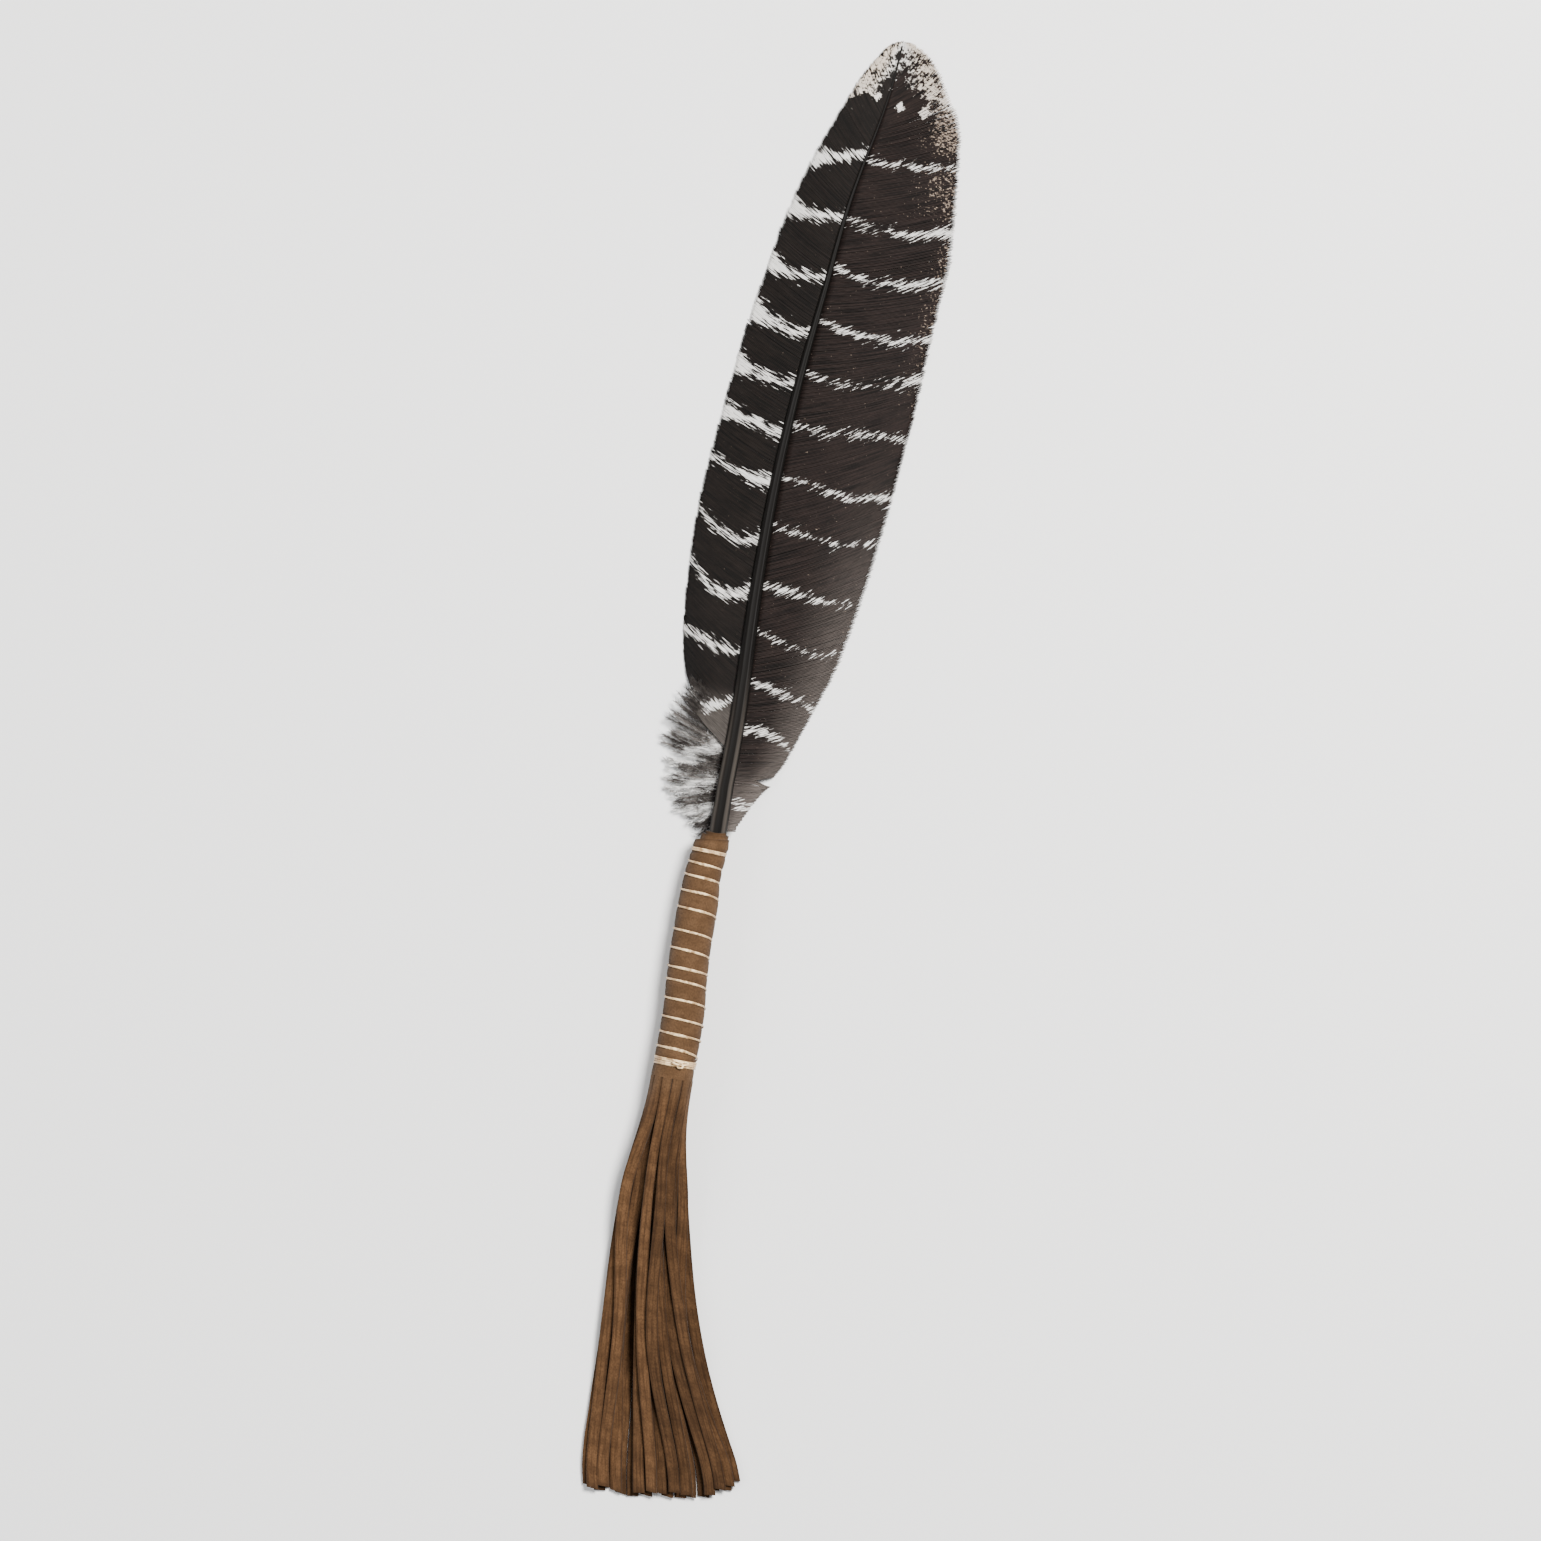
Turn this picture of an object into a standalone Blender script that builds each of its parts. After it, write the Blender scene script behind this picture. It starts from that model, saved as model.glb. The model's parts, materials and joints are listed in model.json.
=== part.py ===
"""Feather hand fan: one barred wing feather in a rolled leather handle with a cut leather fringe.

The object lies on a flat surface at z = 0, with the feather's tip towards +Y and the fringe towards -Y.
Sizes are in metres, written as millimetres times MM.  Shapes are drawn in the handle's own frame, whose
origin lies on that surface below the middle of the handle's lower end.  The empty handle_foot carries
them into the part's frame, and one hinge empty carries each third of the fringe.
"""
import math

import bmesh
import bpy
import numpy as np
from mathutils import Vector

MM = 0.001
CLEARANCE = 0.3 * MM  # between pieces that touch each other on the real object
HANDLE_FOOT = Vector((-10.9, -101.62, 0.0)) * MM  # the handle's lower end in the part's frame

# The quill: a hollow barrel inside the handle, then a solid shaft that thins towards the tip.
QUILL_START = 12.0 * MM
QUILL_END = 336.5 * MM
QUILL_STATIONS = 26
QUILL_SIDES = 12
BORE_END = 70.0 * MM
BORE_WALL = 0.6 * MM
# Along Y, in millimetres: the shaft's sideways place, its height above the surface and its full width.
SHAFT_LINE = ((0, 0), (74, 0), (79, 0.2), (90, 1.1), (108, 1.6), (159, 0.5), (184, 0.6), (208, 1.6),
              (233, 3.6), (258, 6.3), (282, 8.8), (299, 11.8), (316, 15.2), (332, 17.1), (338, 17.4))
SHAFT_HEIGHT = ((74, 7.75), (84, 7.7), (125, 6.6), (160, 5.4), (220, 4.2), (290, 2.7), (338, 1.0))
SHAFT_WIDTH = ((12, 2.4), (24, 4.4), (60, 5.3), (110, 5.3), (135, 4.8), (159, 4.2), (200, 3.3),
               (240, 2.4), (270, 1.6), (307, 0.8), (338, 0.6))

# The vanes: thin crowned plates.  Their outlines give the distance from the shaft's middle, in millimetres.
VANE_THICKNESS = 0.6 * MM
VANE_STATIONS = 27
VANE_COLUMNS = 5
VANE_EDGE_HEIGHT = 0.4 * MM
VANE_SLOPE_LENGTH = 20.0 * MM
LEFT_VANE = ((111, 3.6), (117, 10.0), (124, 16.6), (136, 20.4), (155, 22.0), (175, 22.8), (214, 21.6),
             (241, 21.0), (267, 19.3), (294, 16.5), (308, 14.3), (322, 11.0), (332, 6.8), (337.8, 1.4))
RIGHT_VANE = ((80, 5.9), (90, 9.9), (104, 17.2), (118, 22.0), (132, 27.5), (158, 33.6), (185, 37.0),
              (211, 38.5), (251, 37.1), (277, 35.8), (290, 32.5), (302, 29.2), (315, 24.4),
              (327, 16.3), (334, 9.0), (337.8, 1.4))
DOWN_TUFT = ((80, 4.6), (84, 10.5), (90, 19.5), (98, 22.2), (106, 23.0), (114, 21.0), (120, 18.6))
DOWN_STATIONS = 12
DOWN_THICKNESS = 2.2 * MM
DOWN_EDGE_HEIGHT = 1.5 * MM

# The handle: one leather sheet rolled round the quill, tighter at its upper end.
LEATHER_THICKNESS = 0.8 * MM
HANDLE_LENGTH = 79.0 * MM
ROLL_START_RADIUS = 3.05 * MM
ROLL_PITCH = 0.88 * MM
ROLL_TURNS = 2.75
ROLL_POINTS_PER_TURN = 18
ROLL_STATIONS = 5
ROLL_TAPER = 1.08  # lower end against upper end
ROLL_SLANT = 4.0 * MM  # how much lower the outer turn's upper edge ends than the inner turn's
SEAM_ANGLE = math.radians(-60)

# The binding: a thread wound by hand up the handle between two whippings, and its knot.
THREAD_DIAMETER = 0.7 * MM
THREAD_SEGMENTS_PER_TURN = 16
THREAD_SIDES = 5
THREAD_TURNS = (8.6, 13.3, 18.2, 24.3, 30.3, 34.3, 40.2, 46.1, 53.4, 59.0, 64.1, 68.2)  # mm up the handle
BAND_THICKNESS = 0.8 * MM
BAND_SIDES = 24
BOTTOM_BAND = (4.3 * MM, 2.6 * MM)  # middle and width, up the handle
TOP_BAND = (72.4 * MM, 1.9 * MM)
KNOT_SIZE = Vector((3.6, 2.4, 1.6)) * MM
KNOT_OFFSET = 1.6 * MM

# The fringe: thongs of one length, cut from the handle's sheet, in three bundles that swing apart.
THONG_WIDTH = 3.2 * MM
THONG_LENGTH = 135.0 * MM
THONG_STEP = 8.5 * MM
THONG_STATIONS = 17
BUNDLE_PITCH = 4.2 * MM
ROOT_SETTLE_LENGTH = 38.0 * MM
# Per bundle: the lane each thong ends in, lowest thong first, and the number of lanes there.
# A thong that ends half way between two lanes lies over the gap between the thongs in them.
BUNDLES = {
    "left": ((1, 3, 0, 2, 0.5, 2.5, 1.5), 4),
    "middle": ((2, 0, 4, 1, 5, 3, 2.5, 0.5, 4.5, 1.5, 3.5), 6),
    "right": ((2, 0, 3, 1, 2.5, 0.5, 1.5), 4),
}
# Down the fringe, in millimetres: its middle line.
FRINGE_LINE = ((0, 0), (20, -0.2), (42, 1.2), (62, 3.8), (81, 7.2), (100, 11.3), (120, 15.8), (136, 18.9))
# Down the fringe, in millimetres: the lanes in each bundle, up to its full number, and their distance apart.
LANE_PLACES = (0, 42, 81, 124)
LANE_COUNTS = (1, 2, 3)
LANE_PITCHES = (4.2, 3.77, 3.52, 3.54)
# The thongs at the right are cut shorter, by this much at its outermost lane.
RIGHT_TRIM = 4.5 * MM

QUILL_LOOK = ("horn", (0.03, 0.026, 0.022), 0.35)
VANE_LOOK = ("vane", (0.05, 0.036, 0.03), 0.75)
DOWN_LOOK = ("down", (0.42, 0.41, 0.4), 0.95)
LEATHER_LOOK = ("suede", (0.23, 0.11, 0.045), 0.9)
THREAD_LOOK = ("waxed_thread", (0.8, 0.6, 0.36), 0.55)


def clear_scene():
    for old in list(bpy.data.objects):
        bpy.data.objects.remove(old, do_unlink=True)


def material(look):
    """The material of that look, made once and shared by every piece that has it."""
    name, colour, roughness = look
    found = bpy.data.materials.get(name)
    if found is None:
        found = bpy.data.materials.new(name)
        found.use_nodes = True
        shader = found.node_tree.nodes["Principled BSDF"]
        shader.inputs["Base Color"].default_value = (*colour, 1.0)
        shader.inputs["Roughness"].default_value = roughness
        shader.inputs["Metallic"].default_value = 0.0
    return found


def empty(name, location, parent=None):
    guide = bpy.data.objects.new(name, None)
    guide.location = location
    guide.parent = parent
    bpy.context.scene.collection.objects.link(guide)
    return guide


def piece(name, form, look, parent, smooth=True):
    """Turns a closed bmesh into a named object under its parent, with its faces pointing out."""
    bmesh.ops.recalc_face_normals(form, faces=form.faces)
    mesh = bpy.data.meshes.new(name)
    form.to_mesh(mesh)
    form.free()
    mesh.materials.append(material(look))
    if smooth:
        mesh.shade_smooth()
        mesh.set_sharp_from_angle(angle=math.radians(40))
    thing = bpy.data.objects.new(name, mesh)
    thing.parent = parent
    bpy.context.scene.collection.objects.link(thing)
    return thing


def curve_through(points):
    """A smooth function of a length in metres, through (place, value) points in millimetres."""
    places = np.array([place for place, _ in points], dtype=float) * MM
    values = np.array([value for _, value in points], dtype=float) * MM
    slopes = np.gradient(values, places)

    def value_at(place):
        place = min(max(place, places[0]), places[-1])
        i = int(np.clip(np.searchsorted(places, place) - 1, 0, len(places) - 2))
        step = places[i + 1] - places[i]
        t = (place - places[i]) / step
        ease = t * t * (3 - 2 * t)
        bend = t * (1 - t) * ((1 - t) * slopes[i] - t * slopes[i + 1]) * step
        return float(values[i] * (1 - ease) + values[i + 1] * ease + bend)

    return value_at


shaft_x = curve_through(SHAFT_LINE)
shaft_z = curve_through(SHAFT_HEIGHT)
shaft_width = curve_through(SHAFT_WIDTH)


def loft(rings, ring_closed=True):
    """A solid through a row of equal rings, with flat ends, or joined end to start."""
    form = bmesh.new()
    loops = [[form.verts.new(point) for point in ring] for ring in rings]
    count = len(loops[0])
    pairs = list(zip(loops, loops[1:]))
    if not ring_closed:
        pairs.append((loops[-1], loops[0]))
    for near, far in pairs:
        for i in range(count):
            j = (i + 1) % count
            form.faces.new((near[i], near[j], far[j], far[i]))
    if ring_closed:
        form.faces.new(loops[0])
        form.faces.new(loops[-1])
    return form


def thick_sheet(upper, lower):
    """A solid between two grids of points, closed along all four borders."""
    form = bmesh.new()
    tops = [[form.verts.new(point) for point in row] for row in upper]
    bottoms = [[form.verts.new(point) for point in row] for row in lower]
    rows = len(tops)
    columns = len(tops[0])
    for grid in (tops, bottoms):
        for i in range(rows - 1):
            for j in range(columns - 1):
                form.faces.new((grid[i][j], grid[i][j + 1], grid[i + 1][j + 1], grid[i + 1][j]))
    for i in range(rows - 1):
        for j in (0, columns - 1):
            form.faces.new((tops[i][j], tops[i + 1][j], bottoms[i + 1][j], bottoms[i][j]))
    for j in range(columns - 1):
        for i in (0, rows - 1):
            form.faces.new((tops[i][j], tops[i][j + 1], bottoms[i][j + 1], bottoms[i][j]))
    return form


def ring_about(centre, across, up, radius_across, radius_up, sides):
    angles = (math.tau * i / sides for i in range(sides))
    return [centre + across * (radius_across * math.cos(a)) + up * (radius_up * math.sin(a)) for a in angles]


def quill_ring(y, wall=0.0):
    radius = shaft_width(y) / 2 - wall
    centre = Vector((shaft_x(y), y, shaft_z(y)))
    return ring_about(centre, Vector((1, 0, 0)), Vector((0, 0, 1)), radius, radius, QUILL_SIDES)


def make_quill(parent):
    """The bore runs down inside from its blind end to the open mouth, then the outside runs up."""
    bore = [quill_ring(y, BORE_WALL) for y in np.linspace(BORE_END, QUILL_START, 6)]
    outside = [quill_ring(y) for y in np.linspace(QUILL_START, QUILL_END, QUILL_STATIONS)]
    return piece("quill", loft(bore + outside), QUILL_LOOK, parent)


def crowned_plate(stations, inner, outer, side, edge_height, thickness):
    """A plate beside the shaft that slopes down from it to the surface, as upper and lower grids."""
    upper, lower = [], []
    for y in stations:
        near, far = inner(y), max(outer(y), inner(y) + MM)
        drop = (shaft_z(y) - edge_height) * min(1.0, far / VANE_SLOPE_LENGTH)
        top_row, bottom_row = [], []
        for t in np.linspace(0.0, 1.0, VANE_COLUMNS):
            x = shaft_x(y) + side * (near + (far - near) * t)
            z = shaft_z(y) - drop * t * t
            top_row.append(Vector((x, y, z + thickness / 2)))
            bottom_row.append(Vector((x, y, z - thickness / 2)))
        upper.append(top_row)
        lower.append(bottom_row)
    return upper, lower


def eased_stations(start, end, count):
    """Places from start to end, closer together near both ends."""
    return [start + (end - start) * (1 - math.cos(math.pi * i / (count - 1))) / 2 for i in range(count)]


def beside_shaft(y):
    return shaft_width(y) / 2 + CLEARANCE


def make_vane(name, outline, side, parent):
    start, end = outline[0][0] * MM, outline[-1][0] * MM
    stations = eased_stations(start, end, VANE_STATIONS)
    grids = crowned_plate(stations, beside_shaft, curve_through(outline), side, VANE_EDGE_HEIGHT,
                          VANE_THICKNESS)
    return piece(name, thick_sheet(*grids), VANE_LOOK, parent)


def make_down_tuft(parent):
    """The fluffy barbs below the left vane, whose lowest barbs bound it from above."""
    vane = curve_through(LEFT_VANE)
    vane_start = LEFT_VANE[0][0] * MM

    def inner(y):
        if y < vane_start - MM:
            return beside_shaft(y)
        return max(beside_shaft(y), vane(y) + CLEARANCE)

    start, end = DOWN_TUFT[0][0] * MM, DOWN_TUFT[-1][0] * MM
    stations = np.linspace(start, end, DOWN_STATIONS)
    grids = crowned_plate(stations, inner, curve_through(DOWN_TUFT), -1, DOWN_EDGE_HEIGHT, DOWN_THICKNESS)
    return piece("down_tuft", thick_sheet(*grids), DOWN_LOOK, parent)


def roll_scale(y):
    """The roll is tighter at its upper end."""
    return ROLL_TAPER + (1.0 - ROLL_TAPER) * y / HANDLE_LENGTH


def roll_radius(y):
    """The rolled leather's greatest outer radius at that height."""
    return (ROLL_START_RADIUS + ROLL_PITCH * ROLL_TURNS + LEATHER_THICKNESS) * roll_scale(y)


BAND_RADIUS = roll_radius(BOTTOM_BAND[0]) + CLEARANCE + BAND_THICKNESS
AXIS_HEIGHT = BAND_RADIUS * math.cos(math.pi / BAND_SIDES)  # the lower band rests on one of its flats


def around_handle(y, radius, angle):
    """A point at that radius from the handle's axis; the angle turns from +X towards +Z."""
    return Vector((radius * math.cos(angle), y, AXIS_HEIGHT + radius * math.sin(angle)))


def make_leather_wrap(parent):
    """The sheet's rolled part: a spiral whose upper edge slants down from its first turn to its last."""
    count = round(ROLL_TURNS * ROLL_POINTS_PER_TURN) + 1
    outer_grid, inner_grid = [], []
    for i in range(count):
        turn = ROLL_TURNS * i / (count - 1)
        angle = SEAM_ANGLE + math.tau * (turn - ROLL_TURNS)
        inner_radius = ROLL_START_RADIUS + ROLL_PITCH * turn
        upper_edge = HANDLE_LENGTH - ROLL_SLANT * (turn / ROLL_TURNS) ** 2
        stations = np.linspace(0.0, upper_edge, ROLL_STATIONS)
        inner_grid.append([around_handle(y, inner_radius * roll_scale(y), angle) for y in stations])
        outer = inner_radius + LEATHER_THICKNESS
        outer_grid.append([around_handle(y, outer * roll_scale(y), angle) for y in stations])
    return piece("leather_wrap", thick_sheet(outer_grid, inner_grid), LEATHER_LOOK, parent)


def make_band(name, band, parent):
    """A whipping of several turns laid side by side, as one ring with a flat below."""
    middle, width = band
    inner = roll_radius(middle - width / 2) + CLEARANCE
    outer = roll_radius(middle) + CLEARANCE + BAND_THICKNESS
    shoulder = BAND_THICKNESS * 0.3
    profile = ((inner, -0.5), (outer - shoulder, -0.5), (outer, -0.35), (outer, 0.35),
               (outer - shoulder, 0.5), (inner, 0.5))
    rings = []
    for i in range(BAND_SIDES):
        angle = -math.pi / 2 + math.tau * (i + 0.5) / BAND_SIDES
        rings.append([around_handle(middle + width * along, radius, angle) for radius, along in profile])
    return piece(name, loft(rings, ring_closed=False), THREAD_LOOK, parent)


def make_binding_thread(parent):
    """One thread wound up the handle; each turn's height is the one it was laid at by hand."""
    last = len(THREAD_TURNS) - 1
    radius = THREAD_DIAMETER / 2
    rings = []
    for i in range(last * THREAD_SEGMENTS_PER_TURN + 1):
        turn = i / THREAD_SEGMENTS_PER_TURN
        y = float(np.interp(turn, range(last + 1), THREAD_TURNS)) * MM
        angle = math.pi / 2 + math.tau * turn
        centre = around_handle(y, roll_radius(y) + CLEARANCE + radius, angle)
        outward = (centre - Vector((0, y, AXIS_HEIGHT))).normalized()
        rings.append(ring_about(centre, outward, Vector((0, 1, 0)), radius, radius, THREAD_SIDES))
    return piece("binding_thread", loft(rings), THREAD_LOOK, parent)


def make_binding_knot(parent):
    form = bmesh.new()
    bmesh.ops.create_uvsphere(form, u_segments=12, v_segments=7, radius=0.5)
    bmesh.ops.scale(form, vec=KNOT_SIZE, verts=form.verts)
    top = AXIS_HEIGHT + BAND_RADIUS + CLEARANCE + KNOT_SIZE.z / 2
    bmesh.ops.translate(form, vec=Vector((KNOT_OFFSET, BOTTOM_BAND[0], top)), verts=form.verts)
    return piece("binding_knot", form, THREAD_LOOK, parent)


fringe_x = curve_through(FRINGE_LINE)


def lane_line(lane, lanes, side):
    """A thong's distance from the fringe's middle line: each bundle parts from one lane into more of them."""
    offsets = []
    for count, pitch in zip(LANE_COUNTS, LANE_PITCHES):
        now = int(lane * count / lanes)
        offsets.append((side * count + now - (count - 1) / 2) * pitch)
    between_bundles = (lanes + BUNDLES["middle"][1]) / 2
    offsets.append((side * between_bundles + lane - (lanes - 1) / 2) * LANE_PITCHES[-1])
    return curve_through(tuple(zip(LANE_PLACES, offsets)))


def thong_paths(lanes_in_order, lanes, side):
    """Middle lines of one bundle's thongs, each resting on those laid before it."""
    downs = [THONG_STEP * k for k in range(THONG_STATIONS)]
    height = len(lanes_in_order) * (LEATHER_THICKNESS + CLEARANCE)
    root_lift = AXIS_HEIGHT - height / 2
    floor = []
    for down in downs:
        t = min(1.0, down / ROOT_SETTLE_LENGTH)
        floor.append(root_lift * (1 - t * t * (3 - 2 * t)) + LEATHER_THICKNESS / 2)
    laid = []
    for lane in lanes_in_order:
        offset = lane_line(lane, lanes, side)
        across = [fringe_x(d) + offset(d) for d in downs]
        up = np.array(floor)
        for other_across, other_up in laid:
            apart = np.abs(np.array(across) - other_across)
            nearest = np.minimum(apart, np.minimum(np.roll(apart, 1), np.roll(apart, -1)))
            nearest[0], nearest[-1] = min(apart[:2]), min(apart[-2:])
            rests = nearest < THONG_WIDTH + CLEARANCE
            up = np.where(rests, np.maximum(up, other_up + LEATHER_THICKNESS + CLEARANCE), up)
        for _ in range(3):
            padded = np.concatenate((up[:1], up, up[-1:]))
            up = np.maximum(up, (padded[:-2] + padded[1:-1] + padded[2:]) / 3)
        laid.append((np.array(across), up))
    return downs, laid


def cut_to_length(points, length):
    """The start of a line of points, ending exactly where its length is reached."""
    kept = [points[0]]
    for point in points[1:]:
        step = (point - kept[-1]).length
        if step >= length:
            kept.append(kept[-1].lerp(point, length / step))
            return kept
        kept.append(point)
        length -= step
    return kept


def make_thong(name, points, look, parent):
    """A strip of leather along its middle line, level across its width."""
    half_width = Vector((THONG_WIDTH / 2, 0, 0))
    half_thick = Vector((0, 0, LEATHER_THICKNESS / 2))
    rings = []
    for point in points:
        corners = (-half_width - half_thick, half_width - half_thick,
                   half_width + half_thick, -half_width + half_thick)
        rings.append([point + corner for corner in corners])
    return piece(name, loft(rings), look, parent, smooth=False)


def make_fringe(parent):
    """Each bundle hangs from an empty on its hinge line, level with the top of the thongs' roots."""
    tallest = max(len(lanes_in_order) for lanes_in_order, _ in BUNDLES.values())
    hinge_height = AXIS_HEIGHT + tallest * (LEATHER_THICKNESS + CLEARANCE) / 2
    for side, (name, (lanes_in_order, lanes)) in enumerate(BUNDLES.items(), start=-1):
        hinge_place = Vector((side * BUNDLE_PITCH, -CLEARANCE, hinge_height))
        hinge = empty("hinge_fringe_" + name, hinge_place, parent)
        downs, laid = thong_paths(lanes_in_order, lanes, side)
        for number, (across, up) in enumerate(laid, start=1):
            line = [Vector((x, -CLEARANCE - d, z)) for x, d, z in zip(across, downs, up)]
            trim = RIGHT_TRIM * ((lanes_in_order[number - 1] + 1) / lanes) ** 2 if name == "right" else 0.0
            points = [point - hinge_place for point in cut_to_length(line, THONG_LENGTH - trim)]
            make_thong(f"thong_{name}_{number}", points, LEATHER_LOOK, hinge)


def main():
    clear_scene()
    foot = empty("handle_foot", HANDLE_FOOT)
    make_quill(foot)
    make_vane("vane_left", LEFT_VANE, -1, foot)
    make_vane("vane_right", RIGHT_VANE, 1, foot)
    make_down_tuft(foot)
    make_leather_wrap(foot)
    make_band("bottom_whipping", BOTTOM_BAND, foot)
    make_band("top_whipping", TOP_BAND, foot)
    make_binding_thread(foot)
    make_binding_knot(foot)
    make_fringe(foot)


main()
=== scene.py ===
"""The looks of the feather hand fan: barbs, down, horn, rolled suede, waxed thread and a cut fringe.

Lengths are in metres, written as millimetres times MM.  Tables are in bare millimetres: heights up from the
handle's lower end, which is at FOOT_Y, and places across from the handle's axis.
"""

import json
import math
from typing import NamedTuple

import bpy
import numpy as np
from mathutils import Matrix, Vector


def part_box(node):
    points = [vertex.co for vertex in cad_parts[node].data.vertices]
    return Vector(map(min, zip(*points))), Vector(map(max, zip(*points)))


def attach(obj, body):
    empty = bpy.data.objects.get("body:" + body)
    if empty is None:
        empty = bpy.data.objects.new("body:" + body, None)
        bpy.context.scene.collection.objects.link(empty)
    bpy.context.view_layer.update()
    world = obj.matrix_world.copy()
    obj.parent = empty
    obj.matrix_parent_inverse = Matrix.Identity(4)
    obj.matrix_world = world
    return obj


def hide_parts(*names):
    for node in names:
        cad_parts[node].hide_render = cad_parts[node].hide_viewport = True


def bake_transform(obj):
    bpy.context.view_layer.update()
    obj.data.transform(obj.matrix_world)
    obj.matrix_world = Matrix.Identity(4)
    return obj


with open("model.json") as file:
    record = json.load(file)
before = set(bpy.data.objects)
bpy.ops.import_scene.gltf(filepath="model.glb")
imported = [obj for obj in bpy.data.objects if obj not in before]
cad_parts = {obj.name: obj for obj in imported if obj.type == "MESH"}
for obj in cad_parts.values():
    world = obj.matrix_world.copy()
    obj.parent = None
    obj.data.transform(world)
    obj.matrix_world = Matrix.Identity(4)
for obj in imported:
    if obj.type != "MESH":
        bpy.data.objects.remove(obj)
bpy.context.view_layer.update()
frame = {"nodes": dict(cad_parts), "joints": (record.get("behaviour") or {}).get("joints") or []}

MM = 0.001
UP = np.array((0.0, 0.0, 1.0))
CLEARANCE = 0.3 * MM  # between pieces of the frame that touch on the real object

# Where the handle is in the frame: its axis, its lower end and its leather's upper end.
HINGES = {joint["child"]: Vector(joint["pos_m"]) for joint in frame["joints"]}
AXIS_X = HINGES["fringe_middle"].x
FOOT_Y = HINGES["fringe_middle"].y + CLEARANCE
BAND_LOW, BAND_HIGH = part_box("bottom_whipping")
AXIS_Z = (BAND_LOW.z + BAND_HIGH.z) / 2
WRAP_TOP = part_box("leather_wrap")[1].y - FOOT_Y

# The camera looks straight down, turned so that the feather leans to the right.
CAMERA_HEIGHT = 3.0
CAMERA_TURN = math.radians(9.66)
CAMERA_AIM = Vector((3.8, -0.3, 0.0)) * MM
FRAME_WIDTH = 493.0 * MM

# Barbs of the two vanes.
BARB_SPACING = 0.42 * MM
BARB_HALF_WIDTH = 0.25 * MM
BARB_STATIONS = 18
BARB_SHARES = np.linspace(0, 1, BARB_STATIONS)
BARB_STEP = 0.5 * MM
BARB_MOST_STEPS = 170
LAST_ROOT = 334

# White bars across each vane: heights at BAR_PLACES out from the shaft, then half their thickness there.
BAR_PLACES = (0.0, 1 / 3, 2 / 3, 1.0)
LEFT_BARS = (
    ((124.7, 119.5, 118.6, 121.6), (0.8, 1.8, 2.2, 2.4)),
    ((136.8, 137.2, 138.8, 141.6), (0.9, 1.7, 2.0, 1.8)),
    ((158.0, 154.2, 156.0, 164.0), (1.8, 2.4, 1.6, 1.8)),
    ((174.4, 172.2, 174.6, 181.0), (2.0, 1.6, 1.1, 1.4)),
    ((192.0, 192.4, 194.6, 198.0), (3.3, 2.4, 0.9, 1.8)),
    ((207.6, 209.2, 211.0, 213.0), (2.3, 2.2, 2.1, 3.4)),
    ((224.6, 224.6, 226.0, 228.6), (1.9, 1.9, 1.9, 4.4)),
    ((240.8, 241.2, 243.0, 246.0), (1.7, 1.8, 2.2, 4.6)),
    ((259.6, 259.0, 259.4, 262.0), (1.8, 1.7, 1.9, 4.2)),
    ((279.8, 279.0, 278.6, 280.6), (1.9, 1.8, 2.0, 4.6)),
    ((301.0, 299.5, 297.6, 297.0), (2.2, 2.2, 2.4, 3.6)),
)
RIGHT_BARS = (
    ((89.0, 89.0, 88.5, 88.0), (1.6, 2.0, 2.2, 1.5)),
    ((111.8, 113.6, 112.0, 108.0), (1.9, 2.4, 1.9, 0.6)),
    ((128.0, 127.2, 125.5, 122.0), (1.4, 2.0, 1.5, 1.6)),
    ((144.8, 142.0, 140.2, 141.4), (1.8, 1.3, 0.9, 0.8)),
    ((158.8, 158.6, 157.2, 158.9), (1.2, 2.2, 1.4, 1.0)),
    ((178.6, 177.0, 176.0, 178.4), (1.6, 1.2, 0.7, 1.2)),
    ((194.2, 193.6, 190.8, 194.4), (1.2, 1.2, 1.6, 2.0)),
    ((211.6, 210.0, 212.3, 212.6), (1.5, 1.5, 1.5, 1.3)),
    ((228.3, 226.4, 228.4, 232.4), (1.6, 1.0, 1.2, 2.4)),
    ((246.0, 243.2, 242.8, 245.6), (1.5, 1.6, 1.8, 2.2)),
    ((263.4, 260.6, 261.0, 264.8), (1.0, 1.5, 2.1, 2.2)),
    ((279.2, 277.2, 277.6, 280.5), (1.2, 1.5, 2.0, 3.2)),
    ((298.4, 298.8, 299.6, 301.6), (1.3, 1.7, 1.7, 1.2)),
)
NEVER_PALE = -3.0


class Vane(NamedTuple):
    """What differs between the two vanes, in millimetres and degrees."""
    name: str
    node: str
    side: int  # -1 left of the shaft, 1 right of it
    bars: tuple
    thinner: float  # taken off the bars' half thickness, as their fraying adds to it
    first_root: float
    angles: tuple  # rows of a height and the barbs' angle from the shaft there
    sweep: float  # how far a barb turns towards the tip on its way out
    splits: tuple  # rows of a height, how far out the barbs begin to part, and by how much
    skirt: tuple  # below this height, the edge is at least this far from the shaft
    spots: tuple  # rows of a pale spot's height, its distance from the shaft and its size
    colours: tuple  # of dark, warm and greyed barbs
    fray_turn: float  # from the barbs to the bars' strokes, towards the tip
    seed: int


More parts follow.
